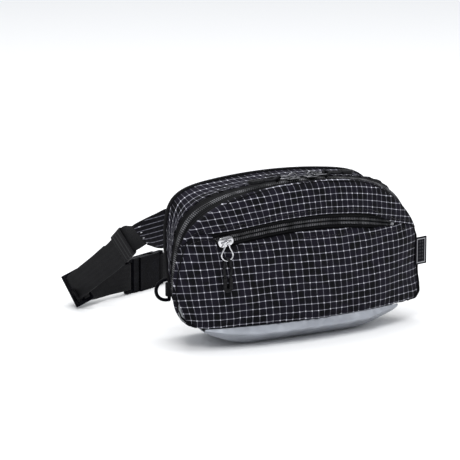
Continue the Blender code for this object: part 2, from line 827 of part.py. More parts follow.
def tip_frame(side):
    """Middle, width direction, path direction and normal at the end of a wing."""
    tip = mirrored(TIP, side)
    along = (mirrored(KEEPER_AT, side) - tip).normalized()
    wide = mirrored(TIP_UP, side)
    wide = (wide - along * wide.dot(along)).normalized()
    return tip, wide, along, wide.cross(along)


def wing(name, side, material):
    root_y = BACK_Y + BACK_SHEET_T + GAP
    root = Vector((side * WING_ROOT[0], root_y, WING_ROOT[1]))
    tip = mirrored(TIP, side)
    bend = root + Vector((side * 0.0015, 0.020, -0.0045))
    upright = Vector((0, 0, 1))
    controls = [
        (root, upright, WING_ROOT_H, WING_T),
        (bend, Vector((side * 0.1, 0.22, 0.95)), WING_ROOT_H * 0.93, WING_T),
        (tip, mirrored(TIP_UP, side), WING_TIP_H, WEB_T + 0.0014),
    ]
    stations = smooth_band(controls, 4)
    stations[0] = (root, upright, WING_ROOT_H, WING_T, Vector((1, 0, 0)))
    place, wide, _, normal = tip_frame(side)
    stations[-1] = (place, wide, WING_TIP_H, WEB_T + 0.0014, normal)
    return band(name, stations, material)


def turn_round(centre, radius, start, end, up, steps):
    """Points of an arc about centre from direction start to direction end, turning about up."""
    angle = start.angle(end)
    if start.cross(end).dot(up) < 0:
        up = -up
    return [centre + Matrix.Rotation(angle * i / steps, 3, up) @ start * radius for i in range(steps + 1)]


def belt_left(webbing, elastic, plastic):
    up = Vector(ADJUSTER_UP).normalized()
    centre = Vector(ADJUSTER_AT)
    keeper = mirrored(KEEPER_AT, -1)
    keeper_up = mirrored(KEEPER_UP, -1)
    male = Vector(MALE_BAR)
    way = Vector(BUCKLE_WAY).normalized()
    upright = Vector((0, 0, 1))

    into = centre - keeper
    into = (into - up * into.dot(up)).normalized()
    away = male - way * 0.012 - centre
    away = (away - up * away.dot(up)).normalized()
    out_a = up.cross(into).normalized()
    out_b = up.cross(away).normalized()
    split = WEB_T / 2 + GAP
    inner_r = ADJUSTER_BAR * math.sqrt(0.5) + GAP + WEB_T / 2
    outer_r = inner_r + 2 * split
    mid_r = inner_r + split

    # Leg A: from the wing to the adjuster; the outer ply runs on, the inner one is the tail
    place, wide, along, normal = tip_frame(-1)
    tip = place + along * GAP
    leg_a_end = centre + out_a * mid_r
    held_up = (keeper_up - into * keeper_up.dot(into)).normalized()
    held_n = held_up.cross(into)
    middle = keeper + out_a * split
    entry = middle - into * (KEEPER_W / 2 + 0.0015)
    leave = middle + into * (KEEPER_W / 2 + 0.0015 + KEEPER_TRAVEL)
    first = smooth_band([(tip, wide, WING_TIP_H - 0.001, WEB_T), (entry, held_up, WEB_W, WEB_T)], 4)
    first[0] = (tip, wide, WING_TIP_H - 0.001, WEB_T, normal)
    first[-1] = (entry, held_up, WEB_W, WEB_T, held_n)
    second = smooth_band(
        [
            (leave, held_up, WEB_W, WEB_T),
            (leave.lerp(leg_a_end + out_a * split, 0.5), (held_up + up) / 2, WEB_W, WEB_T),
            (leg_a_end + out_a * split - into * 0.004, up, WEB_W, WEB_T),
        ],
        4,
    )
    second[0] = (leave, held_up, WEB_W, WEB_T, held_n)
    outer = first + second
    arc_steps = 6
    outer += [(p, up, WEB_W, WEB_T) for p in turn_round(centre, outer_r, out_a, out_b, up, arc_steps)]
    inner = [(p, up, WEB_W, WEB_T) for p in turn_round(centre, inner_r, out_b, out_a, up, arc_steps)]
    tail_up = ((keeper_up + up) / 2).normalized()
    tail_end = keeper.lerp(leg_a_end, 0.30) - out_a * split
    inner.append((leg_a_end - out_a * split - into * 0.004, up, WEB_W, WEB_T))
    inner.append((keeper.lerp(leg_a_end, 0.5) - out_a * split, tail_up, WEB_W, WEB_T))
    inner.append((tail_end, ((keeper_up * 0.7 + up * 0.3)).normalized(), WEB_W, WEB_T))

    # Leg B: both plies to the male buckle's bar and round it
    side = upright.cross(way).normalized()
    bar_gap = BAR_R + GAP + WEB_T / 2
    near = male - way * 0.010
    start = centre + out_b * mid_r + away * 0.004
    legs = []
    for sign in (1, -1):
        spread_near = side * sign * (split + 0.0006)
        early = (out_b * 0.7 + side * 0.3) * sign * split
        legs.append(
            [
                (start + out_b * sign * split, up, WEB_W, WEB_T),
                (start.lerp(near, 0.33) + early, up.lerp(upright, 0.4), WEB_W, WEB_T),
                (start.lerp(near, 0.67) + side * sign * split, upright, WEB_W, WEB_T),
                (near + spread_near, upright, WEB_W, WEB_T),
                (male + side * sign * bar_gap - way * 0.001, upright, WEB_W, WEB_T),
            ]
        )
    there = smooth_band(legs[0], 3)
    back = list(reversed(smooth_band(legs[1], 3)))
    loop = [(male + (side * math.cos(a) + way * math.sin(a)) * bar_gap, upright, WEB_W, WEB_T) for a in
            (math.pi * i / 8 for i in range(9))]
    band("webbing_left", outer + there + loop + back + inner, webbing)

    # The elastic loop that holds the strap down
    room = 2 * GAP
    thick = room + 2 * KEEPER_T
    ends = [middle - into * KEEPER_W / 2, middle + into * KEEPER_W / 2]
    stations = [(p, held_up, WEB_W + thick, WEB_T + thick, held_n) for p in ends]
    sleeve = band("elastic_keeper", stations, elastic)
    longer = [entry, leave - into * KEEPER_TRAVEL]
    hole = band("keeper_hole", [(p, held_up, WEB_W + room, WEB_T + room, held_n) for p in longer], elastic)
    as_cutter(hole)
    combine(sleeve, hole, "DIFFERENCE")

    # Adjuster: a frame with a middle bar, lying across the bend
    out = (out_a + out_b).normalized()
    normal = out.cross(up)
    frame = Matrix.Translation(centre) @ Matrix((out, up, normal)).transposed().to_4x4()
    bar = ADJUSTER_BAR
    slot = outer_r + WEB_T / 2 + 2 * GAP - bar / 2
    outer_edge = bar / 2 + slot + bar
    inner_edge = -(bar / 2 + slot + bar * 0.9)
    adjuster = add(
        "adjuster",
        box_mesh(
            "adjuster",
            (outer_edge - inner_edge, ADJUSTER_H, bar),
            ((outer_edge + inner_edge) / 2, 0, 0),
        ),
        plastic,
    )
    adjuster.data.transform(frame)
    for i, low in enumerate((bar / 2, -bar / 2 - slot)):
        high = low + slot
        mesh = box_mesh("slot", (high - low, WEB_W + 4 * GAP, bar * 3), ((low + high) / 2, 0, 0))
        mesh.transform(frame)
        combine(adjuster, cutter("adjuster_slot_" + str(i), mesh), "DIFFERENCE")
    return side, way


def as_cutter(obj):
    bpy.data.collections[COLLECTION].objects.unlink(obj)
    bpy.data.collections["cutters"].objects.link(obj)
    obj.hide_render = True
    obj.display_type = "WIRE"


def block(name, frame, s_range, n_range, z_range):
    """A box given by its ranges along the buckle, across its thickness and up its height."""
    ranges = (s_range, n_range, z_range)
    size = [high - low for low, high in ranges]
    centre = [(low + high) / 2 for low, high in ranges]
    mesh = box_mesh(name, size, centre)
    mesh.transform(frame)
    return mesh


def rod(name, frame, s, half_h):
    bm = bmesh.new()
    bmesh.ops.create_cone(bm, segments=12, radius1=BAR_R, radius2=BAR_R, depth=2 * half_h, cap_ends=True)
    mesh = bpy.data.meshes.new(name)
    bm.to_mesh(mesh)
    bm.free()
    mesh.transform(frame @ Matrix.Translation((s, 0, 0)))
    return mesh


def buckle(side, way, plastic):
    axes = Matrix((way, side, Vector((0, 0, 1)))).transposed().to_4x4()
    frame = Matrix.Translation(Vector(MALE_BAR)) @ axes
    half = BUCKLE_H / 2
    cheek = half - WEB_W / 2 - 2 * GAP
    thin = BUCKLE_T / 2 - 0.0012

    plug = block("buckle_male", frame, (0.0060, 0.0140), (-thin, thin), (-half, half))
    male = add("buckle_male", plug, plastic)
    for i, sign in enumerate((-1, 1)):
        z = sorted((sign * (half - cheek), sign * half))
        mesh = block("cheek", frame, (-0.0026, 0.0070), (-0.0022, 0.0022), z)
        combine(male, cutter("male_cheek_" + str(i), mesh), "UNION")
    combine(male, cutter("male_bar", rod("male_bar", frame, 0.0, half - 0.0008)), "UNION")
    tongue = block("tongue", frame, (0.0130, 0.0300), (-0.0013, 0.0013), (-0.0022, 0.0022))
    combine(male, cutter("male_tongue", tongue), "UNION")

    # The two sprung arms, from the block into the openings in the sides of the socket
    for name, sign in (("buckle_arm_lower", -1), ("buckle_arm_upper", 1)):
        outline = [
            (0.0140 + GAP, 0.0072),
            (0.0140 + GAP, 0.0104),
            (0.0230, 0.0110),
            (0.0262, half - 0.0006),
            (0.0330, half - 0.0006),
            (0.0140 + ARM_L, 0.0118),
            (0.0140 + ARM_L, 0.0086),
            (0.0250, 0.0076),
        ]
        rings = [[frame @ Vector((s, n, sign * z)) for s, z in outline] for n in (-0.0022, 0.0022)]
        loft(name, rings, plastic)

    # Socket
    wide = BUCKLE_T / 2
    mouth = 0.0150
    inner = wide - BUCKLE_WALL
    socket = block("buckle_female", frame, (mouth, 0.0435), (-wide, wide), (-half, half))
    female = add("buckle_female", socket, plastic)
    reach = half - BUCKLE_WALL
    hollow = block("hollow", frame, (mouth - 0.001, 0.0410), (-inner, inner), (-reach, reach))
    combine(female, cutter("female_hollow", hollow), "DIFFERENCE")
    slim = inner - 0.0004
    windows = block("windows", frame, (0.0245, 0.0375), (-slim, slim), (-half - 0.001, half + 0.001))
    combine(female, cutter("female_windows", windows), "DIFFERENCE")
    for i, sign in enumerate((-1, 1)):
        z = sorted((sign * (half - cheek), sign * half))
        mesh = block("cheek", frame, (0.0425, BUCKLE_L + 0.0026), (-0.0022, 0.0022), z)
        combine(female, cutter("female_cheek_" + str(i), mesh), "UNION")
    combine(female, cutter("female_bar", rod("female_bar", frame, BUCKLE_L, half - 0.0008)), "UNION")


def belt_right(side, way, webbing):
    upright = Vector((0, 0, 1))
    bar = Vector(MALE_BAR) + way * BUCKLE_L
    place, wide, along, normal = tip_frame(1)
    tip = place + along * GAP
    bar_gap = BAR_R + GAP + WEB_T / 2
    split = WEB_T / 2 + GAP
    floor_z = MALE_BAR[2]
    level = [
        (bar + side * bar_gap + way * 0.001, upright),
        (bar + side * (split + 0.0006) + way * 0.010, upright),
        (bar + side * split + way * 0.028, upright),
        (Vector((0.0480, 0.2290, floor_z)), upright),
        (Vector((0.0800, 0.2180, floor_z)), upright),
        (Vector((0.1060, 0.1920, floor_z + 0.004)), Vector((0.1, 0.1, 0.98))),
        (Vector((0.1180, 0.1560, 0.0330)), Vector((0.2, 0.4, 0.88))),
        (Vector((0.1140, 0.1250, 0.0520)), Vector((0.24, 0.55, 0.80))),
        (Vector(KEEPER_AT), Vector(KEEPER_UP)),
    ]
    outer = [(p, w, WEB_W, WEB_T) for p, w in level] + [(tip, wide, WING_TIP_H - 0.001, WEB_T)]
    loop = [(bar + (side * math.cos(a) - way * math.sin(a)) * bar_gap, upright, WEB_W, WEB_T) for a in
            (math.pi * i / 8 for i in range(9))]
    inner = [
        (bar - side * bar_gap + way * 0.001, upright, WEB_W, WEB_T),
        (bar - side * (split + 0.0006) + way * 0.010, upright, WEB_W, WEB_T),
        (bar - side * split + way * 0.028, upright, WEB_W, WEB_T),
    ]
    run = list(reversed(smooth_band(outer, 3))) + loop + smooth_band(inner, 3)
    run[0] = (tip, wide, WING_TIP_H - 0.001, WEB_T, normal)
    band("webbing_right", run, webbing)


def side_ring(webbing, plastic):
    x, y, z = RING_AT
    half = RING_H / 2
    points = [(x, y, z + half * s) for s in (-1, 1)]
    for i in range(1, 10):
        angle = math.pi * i / 10
        points.append((x - RING_OUT * math.sin(angle) ** 0.8, y, z + half * math.cos(angle)))
    add("d_ring", mesh_of_curve(tube_curve("d_ring", points, RING_WIRE_R, True)), plastic)

    turn = RING_WIRE_R + GAP + WEB_T / 2
    centre = Vector(RING_AT)
    upright = Vector((0, 0, 1))
    loop = []
    for i in range(9):
        angle = math.pi * i / 8
        loop.append(centre + Vector((-math.sin(angle), -math.cos(angle), 0)) * turn)
    path = [centre + Vector((0.012, -turn, 0)), centre + Vector((0.004, -turn, 0))] + loop
    path += [centre + Vector((0.004, turn, 0)), centre + Vector((0.012, turn * 0.9, 0))]
    band("d_ring_tab", [(p, upright, TAB_W, WEB_T) for p in path], webbing)


def side_label(material):
    out = Vector((LABEL_X / FRONT_R, -math.sqrt(1 - (LABEL_X / FRONT_R) ** 2), 0))
    along = Vector((-out.y, out.x, 0))
    place = Vector((LABEL_X, front_y(LABEL_X), LABEL_Z)) + out * (GAP + LABEL_T / 2)
    frame = Matrix.Translation(place) @ Matrix((along, Vector((0, 0, 1)), out)).transposed().to_4x4()
    mesh = box_mesh("side_label", (LABEL_W, LABEL_H, LABEL_T), (LABEL_W / 2, 0, 0))
    mesh.transform(frame)
    add("side_label", mesh, material)


def main():
    clear_scene()
    collection_of(COLLECTION)
    collection_of("cutters").hide_render = True

    fabric = material_of("grid_ripstop", (0.012, 0.012, 0.016), 0.75)
    tape = material_of("zip_tape", (0.010, 0.010, 0.011), 0.8)
    coil = material_of("zip_coil", (0.014, 0.014, 0.015), 0.45)
    lining = material_of("lining", (0.20, 0.21, 0.22), 0.7)
    coated = material_of("coated_silver", (0.62, 0.66, 0.70), 0.4)
    padding = material_of("back_mesh", (0.02, 0.02, 0.022), 0.85)
    foam = material_of("foam", (0.03, 0.03, 0.03), 0.9)
    chrome = material_of("chrome", (0.8, 0.8, 0.82), 0.15, 1.0)
    cord = material_of("pull_cord", (0.012, 0.012, 0.013), 0.7)
    rubber = material_of("pull_grip", (0.015, 0.015, 0.016), 0.55)

    front_panels(fabric)
    back_panels(padding, foam)
    gusset_parts(fabric, tape, coil, lining)
    pocket_zip(tape, coil, lining)
    base_parts(coated)
    pocket_slider(chrome, cord, rubber)
    main_slider(-1, chrome, cord, rubber)
    main_slider(1, chrome, cord, rubber)

    webbing = material_of("webbing", (0.016, 0.016, 0.018), 0.8)
    elastic = material_of("elastic", (0.02, 0.02, 0.022), 0.85)
    plastic = material_of("black_plastic", (0.012, 0.012, 0.013), 0.35)
    woven = material_of("woven_label", (0.012, 0.012, 0.014), 0.8)
    wing("wing_left", -1, fabric)
    wing("wing_right", 1, fabric)
    side, way = belt_left(webbing, elastic, plastic)
    buckle(side, way, plastic)
    belt_right(side, way, webbing)
    side_ring(webbing, plastic)
    side_label(woven)


main()
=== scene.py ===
"""Waist pack in grid ripstop: the outer surfaces, finishes, floor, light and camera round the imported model.

Metres, +Z up. The bag faces -Y and the wearer is on +Y. Every new piece is a surface worked out on a
grid of two parameters, so each function says its formula in words.
"""

import math

import bmesh
import bpy
import numpy as np
from mathutils import Matrix


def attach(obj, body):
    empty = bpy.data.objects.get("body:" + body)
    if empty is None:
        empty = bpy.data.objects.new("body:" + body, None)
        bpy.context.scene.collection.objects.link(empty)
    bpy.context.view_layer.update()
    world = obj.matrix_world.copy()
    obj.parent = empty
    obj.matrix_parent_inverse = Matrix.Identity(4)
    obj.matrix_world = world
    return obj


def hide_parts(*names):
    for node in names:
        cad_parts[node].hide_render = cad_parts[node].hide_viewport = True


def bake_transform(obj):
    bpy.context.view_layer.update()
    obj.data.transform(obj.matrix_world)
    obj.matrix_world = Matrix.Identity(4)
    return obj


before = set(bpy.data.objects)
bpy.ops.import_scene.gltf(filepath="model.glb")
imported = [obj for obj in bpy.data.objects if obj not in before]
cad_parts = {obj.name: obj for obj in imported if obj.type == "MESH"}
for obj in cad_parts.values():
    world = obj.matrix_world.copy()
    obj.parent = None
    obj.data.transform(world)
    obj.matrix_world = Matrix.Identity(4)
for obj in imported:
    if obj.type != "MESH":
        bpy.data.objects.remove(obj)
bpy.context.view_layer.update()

# ---------------------------------------------------------------- the bag's own sizes
GAP = 0.0003
FRONT_HALF_W, FRONT_WIDEST_Z = 0.124, 0.036
BACK_HALF_W, BACK_WIDEST_Z = 0.105, 0.088
TOP_Z, TOP_R = 0.1405, 0.270
BACK_TOP_Z, BACK_TOP_R = 0.1385, 0.500
TOP_ARC_HALF_W = 0.062
SEAM_Z = 0.0188
FRONT_CORNER_X, BACK_CORNER_X = 0.108, 0.088
FRONT_SHOULDER, FRONT_CORNER = (0.034, 0.050), (0.011, 0.010)
BACK_SHOULDER, BACK_CORNER = (0.036, 0.034), (0.042, 0.003)

BACK_Y = 0.025
FRONT_EDGE_Y = -0.024
FRONT_R = 0.400
FRONT_T = 0.0020
BACK_SHEET_T = 0.0024
CLOTH_T = 0.0009

TAPE_W = 0.0105
COIL_W = 0.0026
COIL_SLOT = 0.0011
TAPE_SINK = 0.0006
COIL_PITCH = 0.0018

ZIP_Z = 0.1035
ZIP_TILT = math.radians(48)
SLOT_LEFT_X, SLOT_RIGHT_X = -0.0895, 0.092
SLOT_HALF_H = 0.0074
LOWER_LIP = 0.0062
DIVIDER_EDGE_Z = 0.082

BASE_END_X = 0.098
BASE_FLAT_HALF_L = 0.050
BASE_RISE_POWER = 1.6
BASE_FRONT_FLAT_Y, BASE_BACK_FLAT_Y = -0.026, 0.024
BASE_LEDGE_OUT, BASE_LEDGE_DROP = 0.0050, 0.0062
BASE_END_DEPTH = 0.15

WEB_W, WEB_T = 0.025, 0.0016
WING_T, WING_ROOT_H, WING_TIP_H = 0.0050, 0.033, 0.021
KEEPER_W, KEEPER_TRAVEL, KEEPER_T = 0.016, 0.010, 0.0012
ADJUSTER_BAR, BAR_R, BUCKLE_L = 0.0026, 0.0016, 0.050
CELL = 0.00635  # one square of the cloth's grid


# ---------------------------------------------------------------- arrays and curves
def vec(*numbers):
    return np.array(numbers, dtype=float)


def unit(v):
    v = np.asarray(v, dtype=float)
    return v / np.maximum(np.linalg.norm(v, axis=-1, keepdims=True), 1e-12)


def ease(t):
    """0 below 0, 1 above 1, and a smooth rise between."""
    t = np.clip(t, 0.0, 1.0)
    return t * t * (3 - 2 * t)


def lengths(points):
    """Distance travelled along a polyline at each of its points."""
    steps = np.linalg.norm(np.diff(points, axis=0), axis=1)
    return np.concatenate([[0.0], np.cumsum(steps)])


def respaced(points, count, *others):
    """The polyline as count evenly spaced points, with any arrays that go with it."""
    at = lengths(points)
    want = np.linspace(0, at[-1], count)
    made = []
    for array in (points,) + others:
        made.append(np.stack([np.interp(want, at, array[:, k]) for k in range(array.shape[1])], axis=1))
    return made[0] if not others else made


def smooth_path(points, steps):
    """A curve through the points: on each stretch a cubic whose slopes are those of its neighbours."""
    p = np.asarray(points, dtype=float)
    p = np.vstack([2 * p[0] - p[1], p, 2 * p[-1] - p[-2]])
    t = (np.arange(steps) / steps)[None, :, None]
    a, b, c, d = (p[i : len(p) - 3 + i, None, :] for i in range(4))
    made = b + (c - a) * t / 2 + (2 * a - 5 * b + 4 * c - d) * t**2 / 2 + (3 * b - a - 3 * c + d) * t**3 / 2
    return np.vstack([made.reshape(-1, p.shape[1]), p[-2]])


def bezier(a, b, c, d, count):
    """Cubic curve from a to d that leaves towards b and comes in from c."""
    t = np.linspace(0, 1, count)[:, None]
    return a * (1 - t) ** 3 + 3 * b * t * (1 - t) ** 2 + 3 * c * t * t * (1 - t) + d * t**3


def tangents(path):
    return unit(np.gradient(path, axis=0))


def frames(path, wide):
    """Directions across and out of a strap: the width squared to the path, and width x path."""
    along = tangents(path)
    wide = np.broadcast_to(wide, path.shape)
    across = unit(wide - along * np.sum(wide * along, axis=1, keepdims=True))
    return across, np.cross(across, along)


# ---------------------------------------------------------------- meshes and pieces
class Grid:
    """A surface of rows x columns points with a pattern position (u, v) in metres at each."""

    def __init__(self, points, uv, wrap=False, flip=False, slot=0):
        self.points, self.uv, self.wrap, self.flip, self.slot = points, uv, wrap, flip, slot

    def faces(self, start, uv_start):
        rows, cols = self.points.shape[:2]
        across = cols if self.wrap else cols - 1
        i, j = np.arange(rows - 1)[:, None], np.arange(across)[None, :]
        after = (j + 1) % cols
        verts = [i * cols + j, i * cols + after, (i + 1) * cols + after, (i + 1) * cols + j]
        wide = self.uv.shape[1]
        marks = [i * wide + j, i * wide + j + 1, (i + 1) * wide + j + 1, (i + 1) * wide + j]
        quads = np.stack([v.astype(int) + start for v in verts], -1).reshape(-1, 4)
        patterns = np.stack([m.astype(int) + uv_start for m in marks], -1).reshape(-1, 4)
        return (quads[:, ::-1], patterns[:, ::-1]) if self.flip else (quads, patterns)


def mesh_of(name, grids, weld=False):
    """One mesh of several grids, its faces and pattern positions written as whole arrays."""
    points, uvs, quads, patterns, slots = [], [], [], [], []
    count = uv_count = 0
    for grid in grids:
        q, p = grid.faces(count, uv_count)
        quads.append(q)
        patterns.append(p)
        slots.append(np.full(len(q), grid.slot))
        points.append(grid.points.reshape(-1, 3))
        uvs.append(grid.uv.reshape(-1, 2))
        count += len(points[-1])
        uv_count += len(uvs[-1])
    points, uvs = np.vstack(points), np.vstack(uvs)
    quads, patterns, slots = np.vstack(quads), np.vstack(patterns), np.concatenate(slots)
    mesh = bpy.data.meshes.new(name)
    mesh.vertices.add(len(points))
    mesh.vertices.foreach_set("co", points.astype(np.float32).ravel())
    mesh.loops.add(quads.size)
    mesh.loops.foreach_set("vertex_index", quads.astype(np.int32).ravel())
    mesh.polygons.add(len(quads))
    mesh.polygons.foreach_set("loop_start", np.arange(0, quads.size, 4, dtype=np.int32))
    mesh.update(calc_edges=True)
    mesh.polygons.foreach_set("material_index", slots.astype(np.int32))
    layer = mesh.uv_layers.new(name="cloth")
    layer.data.foreach_set("uv", uvs[patterns.ravel()].astype(np.float32).ravel())
    mesh.polygons.foreach_set("use_smooth", np.ones(len(quads), dtype=bool))
    mesh.validate()
    if weld:
        bm = bmesh.new()
        bm.from_mesh(mesh)
        bmesh.ops.remove_doubles(bm, verts=bm.verts, dist=2e-6)
        bm.to_mesh(mesh)
        bm.free()
    return mesh


def piece(name, grids, finishes, body, replaces=(), wall=0.0, weld=False, levels=0):
    """A finished piece on its body; wall gives an open surface its thickness, inwards."""
    finishes = finishes if isinstance(finishes, (list, tuple)) else [finishes]
    obj = bpy.data.objects.new(name, mesh_of(name, grids, weld))
    bpy.context.scene.collection.objects.link(obj)
    for finish in finishes:
        obj.data.materials.append(finish)
    if wall:
        solid = obj.modifiers.new("wall", "SOLIDIFY")
        solid.thickness = wall
        solid.offset = -1
    if levels:
        fine = obj.modifiers.new("fine", "SUBSURF")
        fine.levels = fine.render_levels = levels
    if isinstance(body, tuple):
        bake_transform(obj)
    else:
        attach(obj, body)
    if replaces:
        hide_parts(*replaces)
    return obj


def sweep(path, across, out, profile, closed=False):
    """A closed profile (a, b) carried along a path: point = path + a across + b out, ends drawn to a point.

    profile may change along the path: its shape is then (path points, profile points, 2)."""
    profile = np.asarray(profile, dtype=float)
    if profile.ndim == 2:
        profile = np.broadcast_to(profile, (len(path),) + profile.shape)
    rings = path[:, None] + across[:, None] * profile[..., :1] + out[:, None] * profile[..., 1:]
    at = lengths(path)
    round_trip = np.vstack([profile[0], profile[0][:1]])
    girth = lengths(round_trip)
    if not closed:
        first, last = (path[None, i : i + 1 or None].repeat(rings.shape[1], 1) for i in (0, -1))
        rings = np.concatenate([first, rings, last])
        at = np.concatenate([at[:1], at, at[-1:]])
    if closed:
        rings = np.concatenate([rings, rings[:1]])
        at = np.concatenate([at, at[-1:] + np.linalg.norm(path[0] - path[-1])])
    uv = np.stack(np.broadcast_arrays(at[:, None], girth[None, :]), axis=-1)
    return Grid(rings, uv, wrap=True, flip=True)


def flat_profile(width, thickness, edge=None, count=7):
    """Outline of a strap's section: a rectangle with round edges, ordered for faces that point out."""
    edge = thickness * 0.48 if edge is None else edge
    made = []
    for cx, cy, start in ((1, -1, -90), (1, 1, 0), (-1, 1, 90), (-1, -1, 180)):
        angle = np.radians(start + np.linspace(0, 90, 4))
        x = cx * (width / 2 - edge) + edge * np.cos(angle)
        y = cy * (thickness / 2 - edge) + edge * np.sin(angle)
        made.append(np.stack([x, y], 1))
    ring = np.vstack(made)
    if count:
        x = np.linspace(-1, 1, count + 2)[1:-1] * (width / 2 - edge)
        under = np.stack([x, np.full(count, -thickness / 2)], 1)
        over = np.stack([x[::-1], np.full(count, thickness / 2)], 1)
        ring = np.vstack([under, made[0], made[1], over, made[2], made[3]])
    return ring


def round_profile(radius, count=10):
    angle = np.linspace(0, 2 * math.pi, count, endpoint=False)
    return np.stack([radius * np.cos(angle), radius * np.sin(angle)], 1)


# ---------------------------------------------------------------- finishes
class Finish:
    """The node tree of one material: each call adds a node and hands back its output."""

    def __init__(self, name, colour, roughness, metallic=0.0, **sockets):
        self.made = bpy.data.materials.new(name)
        self.made.use_nodes = True
        self.tree = self.made.node_tree
        self.shader = self.tree.nodes["Principled BSDF"]
        self.put(self.shader, "Base Color", (*colour, 1.0))
        self.put(self.shader, "Roughness", roughness)
        self.put(self.shader, "Metallic", metallic)
        for words, value in sockets.items():
            self.put(self.shader, words.replace("_", " "), value)
        self.coords = None
        self.bumps = None

    def put(self, node, socket, value):
        if isinstance(value, bpy.types.NodeSocket):
            self.tree.links.new(value, node.inputs[socket])
        else:
            node.inputs[socket].default_value = value

    def math(self, operation, a, b=0.0, c=0.0):
        node = self.tree.nodes.new("ShaderNodeMath")
        node.operation = operation
        for i, value in enumerate((a, b, c)):
            self.put(node, i, value)
        return node.outputs[0]

    def axes(self, source="UV"):
        """The pattern position on the surface (u, v), or the object's (x, y, z)."""
        self.coords = self.coords or self.tree.nodes.new("ShaderNodeTexCoord")
        split = self.tree.nodes.new("ShaderNodeSeparateXYZ")
        self.put(split, 0, self.coords.outputs[source])
        return split.outputs

    def position(self, source="UV", stretch=(1, 1, 1)):
        self.coords = self.coords or self.tree.nodes.new("ShaderNodeTexCoord")
        node = self.tree.nodes.new("ShaderNodeMapping")
        self.put(node, "Vector", self.coords.outputs[source])
        self.put(node, "Scale", stretch)
        return node.outputs[0]

    def noise(self, scale, detail=2.0, source="UV", stretch=(1, 1, 1)):
        node = self.tree.nodes.new("ShaderNodeTexNoise")
        self.put(node, "Vector", self.position(source, stretch))
        self.put(node, "Scale", scale)
        self.put(node, "Detail", detail)
        return node.outputs["Fac"]

    def fit(self, value, low, high, to_low=0.0, to_high=1.0, smooth=True):
        node = self.tree.nodes.new("ShaderNodeMapRange")
        node.interpolation_type = "SMOOTHSTEP" if smooth else "LINEAR"
        for i, v in enumerate((value, low, high, to_low, to_high)):
            self.put(node, i, v)
        return node.outputs[0]

    def lines(self, coordinate, pitch, width, soft=0.3, start=0.0):
        """1 on lines of that width every pitch along the coordinate, 0 between them."""
        place = self.math("DIVIDE", self.math("ADD", coordinate, 50 * pitch - start), pitch)
        away = self.math("ABSOLUTE", self.math("SUBTRACT", self.math("FRACT", place), 0.5))
        away = self.math("MULTIPLY", self.math("SUBTRACT", 0.5, away), pitch)
        return self.fit(away, width / 2 * (1 - soft), width / 2 * (1 + soft), 1.0, 0.0)

    def wave(self, coordinate, pitch, phase=0.0):
        """A sine of that pitch along the coordinate, from 0 to 1."""
        turn = self.math("MULTIPLY_ADD", coordinate, 2 * math.pi / pitch, phase)
        return self.math("MULTIPLY_ADD", self.math("SINE", turn), 0.5, 0.5)

    def mix(self, share, a, b):
        node = self.tree.nodes.new("ShaderNodeMix")
        node.data_type = "RGBA"
        self.put(node, 0, share)
        for socket, colour in ((6, a), (7, b)):
            self.put(node, socket, colour if isinstance(colour, bpy.types.NodeSocket) else (*colour, 1.0))
        return node.outputs[2]

    def colour(self, value):
        self.put(self.shader, "Base Color", value)

    def bump(self, height, distance, strength=1.0):
        """Raises the surface by up to distance metres where height is 1."""
        node = self.tree.nodes.new("ShaderNodeBump")
        self.put(node, "Strength", strength)
        self.put(node, "Distance", distance)
        self.put(node, "Height", height)
        if self.bumps is not None:
            self.put(node, "Normal", self.bumps)
        self.bumps = node.outputs[0]
        self.put(self.shader, "Normal", self.bumps)


def ripstop():
    """Near-black cloth crossed by pale rip-stop yarns, brightest where two of them cross."""
    cloth = Finish("grid_ripstop", (0.010, 0.010, 0.014), 0.72, Specular_IOR_Level=0.06)
    u, v = cloth.axes()[0], cloth.axes()[1]
    drift = cloth.noise(60.0, 1.0)
    u = cloth.math("MULTIPLY_ADD", cloth.math("SUBTRACT", drift, 0.5), 0.0012, u)
    v = cloth.math("MULTIPLY_ADD", cloth.math("SUBTRACT", cloth.noise(45.0, 1.0), 0.5), 0.0012, v)
    weft = cloth.lines(v, CELL, 0.00050)
    warp = cloth.lines(u, CELL, 0.00042)
    uneven = cloth.fit(cloth.noise(260.0, 2.0), 0.32, 0.62, 0.55, 1.0)
    wide_weft, wide_warp = cloth.lines(v, CELL, 0.00100, 0.4), cloth.lines(u, CELL, 0.00100, 0.4)
    knot = cloth.math("MULTIPLY", wide_weft, wide_warp)
    cells = cloth.fit(cloth.noise(75.0, 1.0), 0.35, 0.65)
    ground = cloth.mix(cells, (0.0035, 0.0035, 0.0045), (0.0085, 0.0075, 0.0130))
    threads = cloth.mix(cloth.math("MULTIPLY", warp, uneven), ground, (0.17, 0.17, 0.20))
    threads = cloth.mix(cloth.math("MULTIPLY", weft, uneven), threads, (0.25, 0.25, 0.29))
    knot_share = cloth.math("MULTIPLY", knot, cloth.fit(cloth.noise(190.0, 1.0), 0.40, 0.60, 0.35, 1.0))
    cloth.colour(cloth.mix(knot_share, threads, (0.75, 0.75, 0.82)))
    yarn = cloth.math("MULTIPLY", cloth.wave(u, 0.00042), cloth.wave(v, 0.00042, 1.2))
    cloth.bump(yarn, 0.00005, 0.7)
    cloth.bump(cloth.math("MAXIMUM", weft, warp), 0.00010, 0.7)
    cloth.bump(cloth.noise(110.0, 3.0), 0.0006, 0.45)
    return cloth.made


